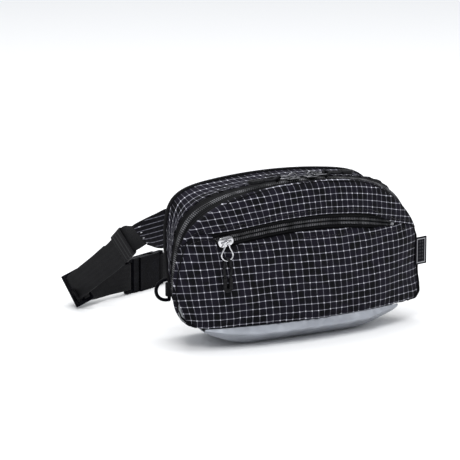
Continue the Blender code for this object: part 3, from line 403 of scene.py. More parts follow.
def zip_tape():
    """Smooth woven tape: faint raised lines along it, and a fine herringbone."""
    tape = Finish("zip_tape", (0.010, 0.010, 0.011), 0.60, Specular_IOR_Level=0.06)
    u, v = tape.axes()[0], tape.axes()[1]
    ridge = tape.lines(v, 0.0024, 0.0007, 0.5)
    tape.colour(tape.mix(ridge, (0.0025, 0.0025, 0.0030), (0.0080, 0.0080, 0.0090)))
    slant = tape.math("PINGPONG", v, 0.0012)
    bone = tape.wave(tape.math("ADD", u, slant), 0.0007)
    tape.bump(bone, 0.00005, 0.5)
    tape.bump(ridge, 0.00018, 0.8)
    return tape.made


def zip_coil():
    """Nylon coil: painted shade between its turns and a painted highlight along the crest of each, dimmed in
    random patches.
    """
    coil = Finish("zip_coil", (0.014, 0.014, 0.015), 0.38, Specular_IOR_Level=0.12)
    u = coil.axes()[0]
    # painted highlight: a pale band along the crest of each turn; the dark between the turns is painted shade
    crest_highlight = coil.lines(u, COIL_PITCH, 0.00075, 0.6)
    uneven = coil.math("MULTIPLY", crest_highlight, coil.fit(coil.noise(90.0, 1.0), 0.35, 0.60, 0.25, 1.0))
    coil.colour(coil.mix(uneven, (0.003, 0.003, 0.004), (0.17, 0.17, 0.18)))
    return coil.made


def coated_silver():
    """Silver-coated base cloth, faintly creased, with the cloth's weave showing through."""
    coat = Finish("coated_silver", (0.36, 0.38, 0.42), 0.34, 0.45, Coat_Weight=0.15, Coat_Roughness=0.3)
    u, v = coat.axes()[0], coat.axes()[1]
    cloudy = coat.fit(coat.noise(28.0, 3.0), 0.30, 0.70)
    tone = coat.mix(cloudy, (0.27, 0.285, 0.32), (0.36, 0.38, 0.42))
    rubbed = coat.fit(coat.noise(420.0, 2.0), 0.62, 0.72, 0.0, 0.35)
    coat.colour(coat.mix(rubbed, tone, (0.34, 0.35, 0.37)))
    coat.bump(coat.noise(55.0, 4.0), 0.0010, 0.35)
    weave = coat.math("MULTIPLY", coat.wave(u, 0.0009), coat.wave(v, 0.0009, 1.5))
    coat.bump(weave, 0.00004, 0.5)
    return coat.made


def webbing_finish(name, dark, light, edge=None, width=WEB_W):
    """Nylon webbing: ribs across the strap in a herringbone, a shade lighter on their crests."""
    web = Finish(name, dark, 0.50, Specular_IOR_Level=0.07)
    u, v = web.axes()[0], web.axes()[1]
    slant = web.math("PINGPONG", v, 0.0021)
    rib = web.wave(web.math("ADD", u, slant), 0.0012)
    yarn = web.wave(v, 0.00055)
    body = web.math("MULTIPLY", rib, web.math("MULTIPLY_ADD", yarn, 0.5, 0.5))
    patchy = web.math("MULTIPLY", body, web.fit(web.noise(120.0, 2.0), 0.25, 0.75, 0.55, 1.0))
    tone = web.mix(patchy, dark, light)
    if edge:
        rim = web.lines(v, width / 6.0, 0.0009, 0.4)
        tone = web.mix(web.math("MULTIPLY", rim, 0.8), tone, edge)
    web.colour(tone)
    web.bump(body, 0.00022, 0.9)
    return web.made


def chrome(name, bright, dull):
    """Plated zinc with faint polishing swirls and a few dulled spots."""
    metal = Finish(name, bright, 0.13, 1.0)
    rub = metal.fit(metal.noise(900.0, 3.0, "Object"), 0.45, 0.75, 0.08, 0.24)
    metal.put(metal.shader, "Roughness", rub)
    spots = metal.fit(metal.noise(400.0, 2.0, "Object"), 0.55, 0.7)
    metal.colour(metal.mix(spots, bright, dull))
    metal.bump(metal.noise(350.0, 2.0, "Object"), 0.00004, 0.08)
    return metal.made


def black_plastic():
    """Glossy moulded acetal with a very fine grain and slightly scuffed edges."""
    plastic = Finish("black_plastic", (0.008, 0.008, 0.009), 0.24, Specular_IOR_Level=0.03)
    scuffs = plastic.fit(plastic.noise(300.0, 3.0, "Object"), 0.3, 0.7, 0.18, 0.36)
    plastic.put(plastic.shader, "Roughness", scuffs)
    cloudy = plastic.fit(plastic.noise(160.0, 2.0, "Object"), 0.4, 0.7)
    plastic.colour(plastic.mix(cloudy, (0.002, 0.002, 0.003), (0.004, 0.004, 0.006)))
    plastic.bump(plastic.noise(2600.0, 2.0, "Object"), 0.00003, 0.35)
    return plastic.made


def pull_cord():
    """Braided black cord: two crossing spirals of strands."""
    braid = Finish("pull_cord", (0.012, 0.012, 0.013), 0.5, Specular_IOR_Level=0.10)
    u, v = braid.axes()[0], braid.axes()[1]
    left = braid.wave(braid.math("ADD", u, v), 0.0011)
    right = braid.wave(braid.math("SUBTRACT", u, v), 0.0011)
    strand = braid.math("MAXIMUM", left, right)
    braid.colour(braid.mix(strand, (0.002, 0.002, 0.003), (0.014, 0.014, 0.016)))
    braid.bump(strand, 0.00018, 0.9)
    return braid.made


def pull_grip():
    """Soft moulded rubber, matt, with a little dust in its grain."""
    rubber = Finish("pull_grip", (0.013, 0.013, 0.014), 0.40, Specular_IOR_Level=0.14)
    dust = rubber.fit(rubber.noise(500.0, 3.0, "Object"), 0.5, 0.75)
    rubber.colour(rubber.mix(dust, (0.005, 0.005, 0.006), (0.014, 0.014, 0.015)))
    rubber.bump(rubber.noise(1500.0, 2.0, "Object"), 0.00005, 0.4)
    return rubber.made


def back_mesh():
    """Spacer mesh: rows of small round holes, every other row shifted by half a hole."""
    mesh = Finish("back_mesh", (0.018, 0.018, 0.020), 0.85, Specular_IOR_Level=0.2)
    u, v = mesh.axes()[0], mesh.axes()[1]
    pitch = 0.0026
    along = mesh.math("DIVIDE", mesh.math("ADD", u, 1.0), pitch)
    up = mesh.math("DIVIDE", mesh.math("ADD", v, 1.0), pitch * 0.866)
    shift = mesh.math("MULTIPLY", mesh.math("MODULO", mesh.math("FLOOR", up), 2.0), 0.5)
    a = mesh.math("SUBTRACT", mesh.math("FRACT", mesh.math("ADD", along, shift)), 0.5)
    b = mesh.math("SUBTRACT", mesh.math("FRACT", up), 0.5)
    far = mesh.math("SQRT", mesh.math("ADD", mesh.math("MULTIPLY", a, a), mesh.math("MULTIPLY", b, b)))
    solid = mesh.fit(far, 0.24, 0.40)
    mesh.colour(mesh.mix(solid, (0.002, 0.002, 0.002), (0.030, 0.030, 0.034)))
    mesh.bump(solid, 0.0006, 0.9)
    return mesh.made


def lining():
    """Plain-weave lining cloth, light grey, softly rumpled."""
    cloth = Finish("lining", (0.20, 0.21, 0.22), 0.62, Sheen_Weight=0.15, Sheen_Roughness=0.4)
    u, v = cloth.axes()[0], cloth.axes()[1]
    weave = cloth.math("MULTIPLY", cloth.wave(u, 0.0005), cloth.wave(v, 0.0005, 1.3))
    cloth.colour(cloth.mix(cloth.noise(50.0, 3.0), (0.16, 0.17, 0.18), (0.24, 0.25, 0.26)))
    cloth.bump(weave, 0.00005, 0.6)
    cloth.bump(cloth.noise(70.0, 3.0), 0.0012, 0.4)
    return cloth.made


def foam():
    """Closed-cell foam wrapped in thin black knit."""
    pad = Finish("foam", (0.030, 0.030, 0.032), 0.9)
    u, v = pad.axes()[0], pad.axes()[1]
    knit = pad.math("MULTIPLY", pad.wave(u, 0.0008), pad.wave(v, 0.0011))
    pad.colour(pad.mix(knit, (0.018, 0.018, 0.020), (0.042, 0.042, 0.045)))
    pad.bump(knit, 0.00012, 0.7)
    return pad.made


def wing_cloth():
    """Stretch cloth of the belt wings: thin pale lines run along it."""
    cloth = Finish("wing_pinstripe", (0.010, 0.010, 0.013), 0.75, Specular_IOR_Level=0.03)
    u, v = cloth.axes()[0], cloth.axes()[1]
    uneven = cloth.fit(cloth.noise(210.0, 2.0), 0.3, 0.6, 0.5, 1.0)
    stripe = cloth.math("MULTIPLY", cloth.lines(v, 0.0041, 0.00055), uneven)
    ground = cloth.mix(cloth.noise(80.0, 2.0), (0.003, 0.003, 0.004), (0.008, 0.0075, 0.0105))
    cloth.colour(cloth.mix(stripe, ground, (0.16, 0.16, 0.19)))
    yarn = cloth.math("MULTIPLY", cloth.wave(u, 0.0005), cloth.wave(v, 0.0005, 1.0))
    cloth.bump(yarn, 0.00006, 0.7)
    cloth.bump(cloth.noise(90.0, 3.0), 0.0008, 0.4)
    return cloth.made


def woven_label():
    """Damask label: a thin pale frame round small diamonds in rows."""
    label = Finish("woven_label", (0.012, 0.012, 0.014), 0.7, Specular_IOR_Level=0.06)
    u, v = label.axes()[0], label.axes()[1]
    a = label.math("PINGPONG", label.math("ADD", u, 1.0), 0.0015)
    b = label.math("PINGPONG", label.math("ADD", v, 1.0), 0.0015)
    diamond = label.fit(label.math("ADD", a, b), 0.0009, 0.0013, 1.0, 0.0)
    from_middle, from_centre = label.math("ABSOLUTE", u), label.math("ABSOLUTE", v)

    def box(half_w, half_h):
        """1 inside a rectangle about the label's centre, with edges 0.2 mm soft."""
        across = label.fit(from_middle, half_w - 0.0001, half_w + 0.0001, 1.0, 0.0)
        up = label.fit(from_centre, half_h - 0.0001, half_h + 0.0001, 1.0, 0.0)
        return label.math("MULTIPLY", across, up)

    inside, within = box(0.0037, 0.0093), box(0.0054, 0.0111)
    outer = label.math(
        "MAXIMUM",
        label.lines(from_middle, 1.0, 0.0008, 0.2, 0.0049),
        label.lines(from_centre, 1.0, 0.0008, 0.2, 0.0106),
    )
    frame_line = label.math("MULTIPLY", outer, within)
    drawn = label.math("MAXIMUM", label.math("MULTIPLY", diamond, inside), frame_line)
    shade = label.mix(frame_line, (0.035, 0.035, 0.04), (0.30, 0.30, 0.32))
    label.colour(label.mix(drawn, (0.004, 0.004, 0.006), shade))
    label.bump(label.wave(u, 0.0004), 0.00006, 0.6)
    return label.made


def plain_thread(name, colour):
    thread = Finish(name, colour, 0.55, Sheen_Weight=0.2, Sheen_Roughness=0.4)
    u = thread.axes()[0]
    thread.colour(thread.mix(thread.wave(u, 0.0006), tuple(c * 0.7 for c in colour), colour))
    thread.bump(thread.wave(u, 0.0006), 0.0001, 0.6)
    return thread.made


def binding():
    """Black grosgrain binding tape with fine ribs across it."""
    tape = Finish("binding", (0.012, 0.012, 0.013), 0.7, Specular_IOR_Level=0.05)
    u = tape.axes()[0]
    rib = tape.wave(u, 0.0009)
    tape.colour(tape.mix(rib, (0.003, 0.003, 0.004), (0.010, 0.010, 0.011)))
    tape.bump(rib, 0.0002, 0.8)
    return tape.made


GRID_CLOTH = ripstop()
TAPE = zip_tape()
COIL = zip_coil()
SILVER = coated_silver()
WEBBING = webbing_finish("webbing", (0.004, 0.004, 0.005), (0.018, 0.018, 0.019))
# painted shade: a darker copy of the webbing for the straps that lie in shade, the right strap and the
# D-ring's tab
SHADED_WEBBING = webbing_finish("webbing_painted_shade", (0.003, 0.003, 0.004), (0.012, 0.012, 0.013))
ELASTIC = webbing_finish("elastic", (0.005, 0.005, 0.006), (0.017, 0.017, 0.018), (0.036, 0.036, 0.038))
CHROME = chrome("chrome", (0.62, 0.62, 0.64), (0.52, 0.52, 0.53))
# painted shade: a darker copy of the chrome for the main zip's sliders and flat links, standing in for the
# dark surroundings they reflect
SHADED_CHROME = chrome("chrome_painted_shade", (0.16, 0.16, 0.17), (0.12, 0.12, 0.12))
PLASTIC = black_plastic()
CORD = pull_cord()
GRIP = pull_grip()
MESH = back_mesh()
LINING = lining()
FOAM = foam()
WING = wing_cloth()
LABEL = woven_label()
BINDING = binding()
PALE_THREAD = plain_thread("pale_thread", (0.62, 0.62, 0.66))
BLACK_THREAD = plain_thread("black_thread", (0.012, 0.012, 0.013))


# ---------------------------------------------------------------- outlines of the bag
def half_outline(top_z, top_r, half_w, widest_z, corner_x, shoulder, corner):
    """Right half in (x, z): an arc over the top, a cubic round the shoulder, a cubic to the corner."""
    end = math.asin(TOP_ARC_HALF_W / top_r)
    angle = np.linspace(0, end, 25)
    arc = np.stack([top_r * np.sin(angle), top_z - top_r + top_r * np.cos(angle)], 1)
    start = arc[-1]
    leave = start + shoulder[0] * vec(math.cos(end), -math.sin(end))
    side = bezier(start, leave, vec(half_w, widest_z + shoulder[1]), vec(half_w, widest_z), 31)
    low = vec(corner_x, SEAM_Z)
    turn = bezier(side[-1], vec(half_w, widest_z - corner[0]), low + vec(corner[1], 0), low, 13)
    return np.vstack([arc, side[1:], turn[1:]])


def outline(which, inset=0.0):
    """The whole outline, left corner over the top to right corner, moved in along its normals."""
    if which == "front":
        half = half_outline(
            TOP_Z, TOP_R, FRONT_HALF_W, FRONT_WIDEST_Z, FRONT_CORNER_X, FRONT_SHOULDER, FRONT_CORNER
        )
    else:
        half = half_outline(
            BACK_TOP_Z, BACK_TOP_R, BACK_HALF_W, BACK_WIDEST_Z, BACK_CORNER_X, BACK_SHOULDER, BACK_CORNER
        )
    whole = np.vstack([half[:0:-1] * vec(-1, 1), half])
    along = tangents(whole)
    inward = np.stack([along[:, 1], -along[:, 0]], 1)
    moved = whole + inward * inset
    moved[:, 1] = np.maximum(moved[:, 1], SEAM_Z)
    return moved


FRONT_OUTLINE = outline("front")
BACK_OUTLINE = outline("back")


def face_y(x):
    """The front's face: a cylinder of radius FRONT_R whose edge is at FRONT_EDGE_Y."""
    edge = FRONT_R - math.sqrt(FRONT_R**2 - FRONT_HALF_W**2)
    return FRONT_EDGE_Y - edge + FRONT_R - np.sqrt(FRONT_R**2 - np.clip(x, -0.2, 0.2) ** 2)


def settle(points):
    """How the stuffed bag stands: the left shoulder pushed out, the right one sunk, less so at the back."""
    x, y, z = points[..., 0], points[..., 1], points[..., 2]
    share = 1 - ease((y + 0.020) / 0.040)
    left = np.exp(-(((x + 0.112) ** 2 + (z - 0.108) ** 2) / 0.032**2)) * share
    right = np.exp(-(((x - 0.100) ** 2 + (z - 0.122) ** 2) / 0.030**2)) * share
    moved = points.copy()
    corner = np.exp(-(((x - 0.122) ** 2 + (z - 0.018) ** 2) / 0.018**2)) * share
    band = np.exp(-(((x - 0.098) ** 2 + (z - 0.114) ** 2) / 0.028**2)) * np.exp(-(((y + 0.004) / 0.018) ** 2))
    flank = np.exp(-(((x - 0.116) / 0.034) ** 2 + ((z - 0.082) / 0.034) ** 2)) * share
    tuck = np.exp(-(((x + 0.122) ** 2 + (z - 0.020) ** 2) / 0.020**2)) * share
    moved[..., 0] += -0.0050 * left + 0.0065 * corner + 0.0060 * band + 0.0055 * flank + 0.0070 * tuck
    moved[..., 2] += 0.0050 * left - 0.0020 * right + 0.0050 * band + 0.0015 * tuck - 0.0012 * corner
    return moved


def gusset_at(depths, drop=0.0):
    """Rows round the side: from each point of the front outline straight towards its partner at the
    back, at the given distances from the front edge; None stands for the back edge."""
    front, back = outline("front", drop), outline("back", drop)
    a = np.stack([front[:, 0], face_y(front[:, 0]) + FRONT_T + GAP, front[:, 1]], 1)
    b = np.stack([back[:, 0], np.full(len(back), BACK_Y - GAP), back[:, 1]], 1)
    way = unit(b - a)
    far = np.linalg.norm(b - a, axis=1)
    rows = [a + way * (far if d is None else d * np.ones_like(far))[:, None] for d in depths]
    return np.array(rows)


def zip_z(x):
    """Middle line of the pocket zip: an arc in a plane tilted by ZIP_TILT."""
    r = FRONT_R * math.cos(ZIP_TILT)
    return ZIP_Z - r * (1 - np.sqrt(1 - (np.clip(x, -0.2, 0.2) / r) ** 2)) * math.sin(ZIP_TILT)


def slot_half(x):
    """Half height of the opening over the pocket zip: blunt at the left, tapered at the right."""
    t = np.clip((x - SLOT_LEFT_X) / (SLOT_RIGHT_X - SLOT_LEFT_X), 0, 1)
    return np.clip(t / 0.03, 0, 1) ** 0.8 * np.minimum(1, (1 - t) / 0.16) ** 0.8


def divider_z(x):
    """The zip's line, running out on both sides to the outline at DIVIDER_EDGE_Z."""
    z = zip_z(x)
    for end, sign in ((SLOT_LEFT_X, -1), (SLOT_RIGHT_X, 1)):
        t = np.clip((x - end) / (sign * 0.118 - end), 0, 1)
        start = zip_z(end) + (SLOT_HALF_H if sign < 0 else 0)
        run = start + (DIVIDER_EDGE_Z - start) * t ** (2.6 if sign < 0 else 2)
        z = np.where(x * sign > end * sign, run, z)
    return z + np.where((x >= SLOT_LEFT_X) & (x < 0), SLOT_HALF_H * (1 - slot_half(x)), 0)


# ---------------------------------------------------------------- the front
def finer_ends(count, length, roll):
    """0 to 1 in count steps, with extra ones close to both ends for an edge that turns over."""
    near = vec(0.0, 0.12, 0.3, 0.55, 0.85) * roll / length
    margin = roll / length * 1.2
    return np.concatenate([near, np.linspace(margin, 1 - margin, count), 1 - near[::-1]])


def edge_roll(distance, radius):
    """How far the cloth has turned in at that distance from its edge: a quarter circle."""
    near = np.clip(radius - distance, 0, radius)
    return radius - np.sqrt(np.maximum(radius**2 - near**2, 0))


ROLL = 0.0012


def side_x(z):
    """Half width of the front at height z."""
    half = FRONT_OUTLINE[len(FRONT_OUTLINE) // 2 :]
    return np.interp(-z, -half[:, 1], half[:, 0])


def rumple(x, z):
    """Slow hollows and swells of the stuffed front."""
    broad = np.sin(61 * x + 40 * z + 1.0) * np.sin(83 * z - 17 * x)
    return 0.0006 * (broad + 0.6 * np.sin(131 * x - 90 * z + 2.0))


def front_lower_panel():
    """Rows at height share t run between the sides and bend from the flat seam to the zip's arch; the
    panel bellies out by (1 - s^4)(1 - (2t-1)^4), puckers above the seam and turns in at its edges."""
    t = finer_ends(64, 0.075, ROLL)[:, None]
    s = 2 * finer_ends(150, 0.24, ROLL)[None, :] - 1
    level = SEAM_Z + GAP + (DIVIDER_EDGE_Z - SEAM_Z - GAP) * t
    reach = side_x(level)
    x = s * reach
    top_x = s * side_x(DIVIDER_EDGE_Z)
    lip = divider_z(top_x) - slot_half(top_x) * LOWER_LIP
    z = level + t * (lip - DIVIDER_EDGE_Z)
    belly = 0.0032 * (1 - s**4) * (1 - (2 * t - 1) ** 4)
    seam_far = z - SEAM_Z
    pucker = 0.0007 * np.exp(-seam_far / 0.006) * np.sin(2 * math.pi * x / 0.0105 + 1.7 * np.sin(31 * x))
    lip_far = np.broadcast_to((1 - t) * 0.075, x.shape)
    waves = 0.0004 * np.exp(-lip_far / 0.005) * np.sin(2 * math.pi * x / 0.019 + 1.1 * np.sin(23 * x))
    side_far = reach * (1 - np.abs(s))
    turn = edge_roll(side_far, ROLL) + edge_roll(lip_far, ROLL) + edge_roll(seam_far, ROLL * 0.5)
    round_off = 0.0045 * np.exp(-side_far / 0.010)
    y = face_y(x) - belly + pucker + waves + turn + round_off - rumple(x, z) * (1 - t**6)
    girth = FRONT_R * np.arcsin(np.clip(x / FRONT_R, -1, 1))
    gather = 2.2 * np.maximum(x - 0.060, 0) ** 2 - 1.0 * np.maximum(-x - 0.040, 0) ** 2
    uv = np.stack([girth + gather + 0.12 * (z - 0.09) + 0.0010, z - 0.0965 + 0.0012 * np.sin(35 * x)], -1)
    return settle(np.stack([x, y, z], -1)), uv


def front_upper_panel():
    """Rows bend from the zip's arch to the arc of the top edge; the cloth's own lines follow the arch,
    so the pattern is laid in circles about the arch's centre."""
    t = finer_ends(34, 0.035, ROLL)[:, None]
    s = 2 * finer_ends(150, 0.24, ROLL)[None, :] - 1
    half = FRONT_OUTLINE[len(FRONT_OUTLINE) // 2 :]
    below = half[half[:, 1] > DIVIDER_EDGE_Z]
    start = np.array([side_x(DIVIDER_EDGE_Z), DIVIDER_EDGE_Z])
    climb = np.vstack([start, below[::-1]])
    shoulder_at = lengths(climb)[np.argmin(np.abs(climb[:, 0] - 0.0955))]
    at = t[:, 0] * shoulder_at
    reach = np.interp(at, lengths(climb), climb[:, 0])[:, None]
    level = np.interp(at, lengths(climb), climb[:, 1])[:, None]
    x = s * reach
    low_x, top_x = s * start[0], s * reach[-1, 0]
    lip = divider_z(low_x) + slot_half(low_x) * SLOT_HALF_H
    crown = np.interp(np.abs(top_x), half[:, 0][: len(half) - 14], half[:, 1][: len(half) - 14])
    z = level + (1 - t) * (lip - DIVIDER_EDGE_Z) + t * (crown - level[-1, 0])
    side_far = reach * (1 - np.abs(s))
    lip_far = np.broadcast_to(t * 0.035, x.shape)
    top_far = np.broadcast_to((1 - t) * 0.035, x.shape)
    turn = edge_roll(side_far, ROLL) + edge_roll(top_far, ROLL) + edge_roll(lip_far, ROLL)
    hood = 0.0022 * np.exp(-lip_far / 0.008) * slot_half(low_x)
    belly = 0.0018 * (1 - s**4) * (1 - (2 * t - 1) ** 4)
    round_off = 0.0035 * np.exp(-np.minimum(side_far, top_far) / 0.007)
    y = face_y(x) - belly - hood + turn + round_off - rumple(x, z + 0.3) * 0.7
    centre = ZIP_Z - 0.360
    angle = np.arctan2(x, z - centre)
    climb = np.hypot(x, z - centre) - 0.360 - 0.0080
    uv = np.stack([angle * 0.360 * 1.18 + 0.15 * climb + 0.002, climb * 1.13], -1)
    return settle(np.stack([x, y, z], -1)), uv


def flap_over(points, uv, row, depth):
    """A strip that turns back into the bag from one edge of a panel, as the seam allowance does."""
    edge = points[row]
    sign = 1 if row == 0 else -1
    rows = [edge + vec(0, d, sign * lift) for d, lift in ((0, 0), (depth * 0.5, 0.0004), (depth, 0.0012))]
    marks = np.array([uv[row] + vec(0, (1 if row else -1) * k * depth / 2) for k in range(3)])
    return Grid(np.array(rows), marks, flip=row == 0)


SEAM_BLEND = ("bag", "front", (0, -0.030, SEAM_Z), (0, -0.030, 0.046))


def front_panels():
    low_points, low_uv = front_lower_panel()
    grids = [Grid(low_points, low_uv), flap_over(low_points, low_uv, -1, 0.0020)]
    piece(
        "front_lower_cloth", grids, GRID_CLOTH, SEAM_BLEND, ["front_lower_panel"], weld=True
    )
    up_points, up_uv = front_upper_panel()
    grids = [Grid(up_points, up_uv), flap_over(up_points, up_uv, 0, 0.0022)]
    piece("front_upper_cloth", grids, GRID_CLOTH, "front", ["front_upper_panel"], weld=True)
    return low_points, up_points


# ---------------------------------------------------------------- zips
def coil_half(middle, across, out, radius, flip=False):
    """One half of a coil zip: a rounded rib whose girth swells once every pitch along the row."""
    at = lengths(middle)
    count = int(at[-1] / COIL_PITCH * 6)
    path, across, out = respaced(middle, count, across, out)
    across, out = unit(across), unit(out)
    turn = np.abs(np.cos(math.pi * lengths(path) / COIL_PITCH))
    swell = 0.62 + 0.38 * turn**0.7
    angle = np.linspace(0, 2 * math.pi, 9)[:-1]
    ring = np.stack([np.cos(angle) * radius * 0.98, np.sin(angle) * radius * 0.72], 1)
    grid = sweep(path, across, out, ring[None] * swell[:, None, None])
    grid.flip = not flip
    return grid


def side_frames(drop):
    """Directions at each outline point: back across the zip, and out of the side."""
    a, b = gusset_at([0.0, 0.02], drop)
    back = unit(b - a)
    along = tangents(a)
    return back, unit(np.cross(along, back))


def main_zip():
    """Two tapes and two coils laid round the side, each a strip of the ruled side surface."""
    back, out = side_frames(0.0)
    trim = slice(2, -2)

    def strip(name, start, end, node, body, ripple_seed):
        depths = np.linspace(start, end, 7)
        rows = gusset_at(depths, TAPE_SINK)
        arc = lengths(rows[0])
        share = ((depths - start) / (end - start))[:, None]
        seam_side = share if body == "bag" else 1 - share
        ripple = 0.00035 * seam_side**2 * np.sin(2 * math.pi * arc[None] / 0.0085 + ripple_seed)
        sag = -0.0010 * np.sin(math.pi * share) + ripple
        rows = rows + out[None] * sag[..., None]
        uv = np.stack(np.broadcast_arrays(arc[None], depths[:, None]), -1)
        fitted = SEAM_BLEND if body == "front" else body
        piece(name, [Grid(settle(rows), uv)], TAPE, fitted, [node], wall=0.0008)

    strip("main_zip_tape_front", -0.0004, TAPE_W, "main_tape_front", "front", 0.4)
    first = TAPE_W + COIL_W + COIL_SLOT
    rear = first + COIL_W
    strip("main_zip_tape_rear", rear, rear + TAPE_W + 0.0006, "main_tape_rear", "bag", 2.0)
    for name, depth, node, body in (
        ("main_zip_coil_front", TAPE_W + COIL_W * 0.55, "main_coil_front", SEAM_BLEND),
        ("main_zip_coil_rear", first + COIL_W * 0.45, "main_coil_rear", "bag"),
    ):
        middle = gusset_at([depth], TAPE_SINK + 0.0002)[0]
        grid = coil_half(settle(middle)[trim], back[trim], out[trim], COIL_W * 0.55)
        piece(name, [grid], COIL, body, [node], weld=True)


def pocket_zip():
    """Coils and tapes behind the slot in the front, each following the zip's arch at its own height."""
    def arch(x, offset, sink):
        return np.stack([x, face_y(x) + sink, zip_z(x) + offset], 1)

    x = np.linspace(SLOT_LEFT_X + 0.002, SLOT_RIGHT_X - 0.004, 120)
    sink = FRONT_T + GAP
    out = unit(np.stack([x / FRONT_R, -np.sqrt(1 - (x / FRONT_R) ** 2), np.zeros_like(x)], 1))
    for name, sign in (("upper", 1), ("lower", -1)):
        middle = settle(arch(x, sign * (COIL_SLOT / 2 + COIL_W / 2), sink + 0.0011))
        along = tangents(middle)
        grid = coil_half(middle, np.cross(out, along), out, COIL_W * 0.52)
        node = "pocket_coil_" + name
        piece("pocket_zip_coil_" + name, [grid], COIL, "front", [node], weld=True)
        edge = np.linspace(SLOT_LEFT_X - 0.002, SLOT_RIGHT_X + 0.002, 120)
        offsets = sign * np.linspace(COIL_SLOT / 2 + COIL_W * 0.8, COIL_SLOT / 2 + COIL_W + TAPE_W, 6)
        rows = np.array([arch(edge, o, sink + 0.0008) for o in offsets])
        uv = np.stack(np.broadcast_arrays(lengths(rows[0])[None], np.abs(offsets)[:, None]), -1)
        grid = Grid(settle(rows), uv, flip=sign < 0)
        node = "pocket_tape_" + name
        piece("pocket_zip_tape_" + name, [grid], TAPE, "front", [node], wall=0.0006)


def thread_row(path, out, pitch, length, radius, dip=0.3):
    """A row of stitches: short closed threads along a path, each arched out and thinning to its ends."""
    at = lengths(path)
    starts = np.arange(pitch * 0.5, at[-1] - length, pitch)
    t = np.linspace(0, 1, 6)
    where = starts[:, None] + t[None] * length
    along = tangents(path)
    pick = [np.stack([np.interp(where, at, a[:, k]) for k in range(3)], -1) for a in (path, out, along)]
    place, normal, way = pick[0], unit(pick[1]), unit(pick[2])
    place = place + normal * (radius * (np.sin(math.pi * t) * 1.2 - dip))[None, :, None]
    side = np.cross(normal, way)
    angle = np.linspace(0, 2 * math.pi, 6)[:-1]
    thick = radius * np.sin(math.pi * np.clip(t, 0.02, 0.98)) ** 0.4
    rings = (
        place[:, :, None]
        + side[:, :, None] * (np.cos(angle)[None, None, :, None] * thick[None, :, None, None])
        + normal[:, :, None] * (np.sin(angle)[None, None, :, None] * thick[None, :, None, None])
    )
    grids = []
    for k in range(len(starts)):
        uv = np.stack(np.broadcast_arrays(where[k][:, None], np.linspace(0, radius * 6, 6)[None]), -1)
        grids.append(Grid(rings[k], uv, wrap=True, flip=True))
    return grids


# ---------------------------------------------------------------- sides, back and inside
def side_cloth():
    """The ruled side behind the zip, sagging a little between front and back, and its grey lining."""
    start = 2 * TAPE_W + 2 * COIL_W + COIL_SLOT
    back, out = side_frames(0.0)
    share = finer_ends(30, 0.045, 0.0012)[:, None]
    a, b = gusset_at([start], 0.0)[0], gusset_at([None], 0.0)[0]
    rows = a[None] * (1 - share[..., None]) + b[None] * share[..., None]
    arc = lengths(a)
    far = share * np.linalg.norm(b - a, axis=1)[None]
    sag = -0.0022 * np.sin(math.pi * share) - edge_roll(far, 0.0012) * 0.7
    ripple = 0.0006 * (1 - share) ** 3 * np.sin(2 * math.pi * arc[None] / 0.0105 + 2 * np.sin(29 * arc[None]))
    rows = rows + out[None] * (sag + ripple)[..., None]
    uv = np.stack([np.broadcast_to(arc[None], far.shape), far * 0.75 + 0.0021], -1)
    piece("side_cloth", [Grid(settle(rows), uv)], GRID_CLOTH, "bag", ["gusset"], wall=CLOTH_T)
    inner = gusset_at([start + 0.0008, 0.036, None], 0.0030)
    share = np.linspace(0, 1, 12)[:, None, None]
    rows = inner[0][None] * (1 - share) + inner[-1][None] * share
    uv = np.stack(np.broadcast_arrays(arc[None], share[..., 0] * 0.04), -1)
    piece("side_lining", [Grid(settle(rows), uv)], LINING, "bag", ["gusset_lining"], wall=0.0006)


def closed_outline(which, inset=0.0, lowest=SEAM_Z):
    """The outline with its bottom edge, as evenly spaced (x, z) points of one closed loop."""
    points = outline(which, inset)
    points[:, 1] = np.maximum(points[:, 1], lowest)
    return respaced(np.vstack([points, points[:1]]), 241)[:-1]


def filled(loop, y_of, count=40, centre=(0.0, 0.072), flip=False):
    """A sheet inside a closed (x, z) loop: rings drawn towards the middle, y worked out from (x, z, r)."""
    r = 1 - (1 - np.linspace(0, 1, count)) ** 1.4
    middle = vec(*centre)
    flat = middle + (loop - middle)[None] * r[:, None, None]
    flat = np.concatenate([flat, flat[:, :1]], axis=1)
    x, z = flat[..., 0], flat[..., 1]
    points = np.stack([x, y_of(x, z, np.broadcast_to(r[:, None], x.shape)), z], -1)
    return Grid(points, flat.copy(), flip=flip)


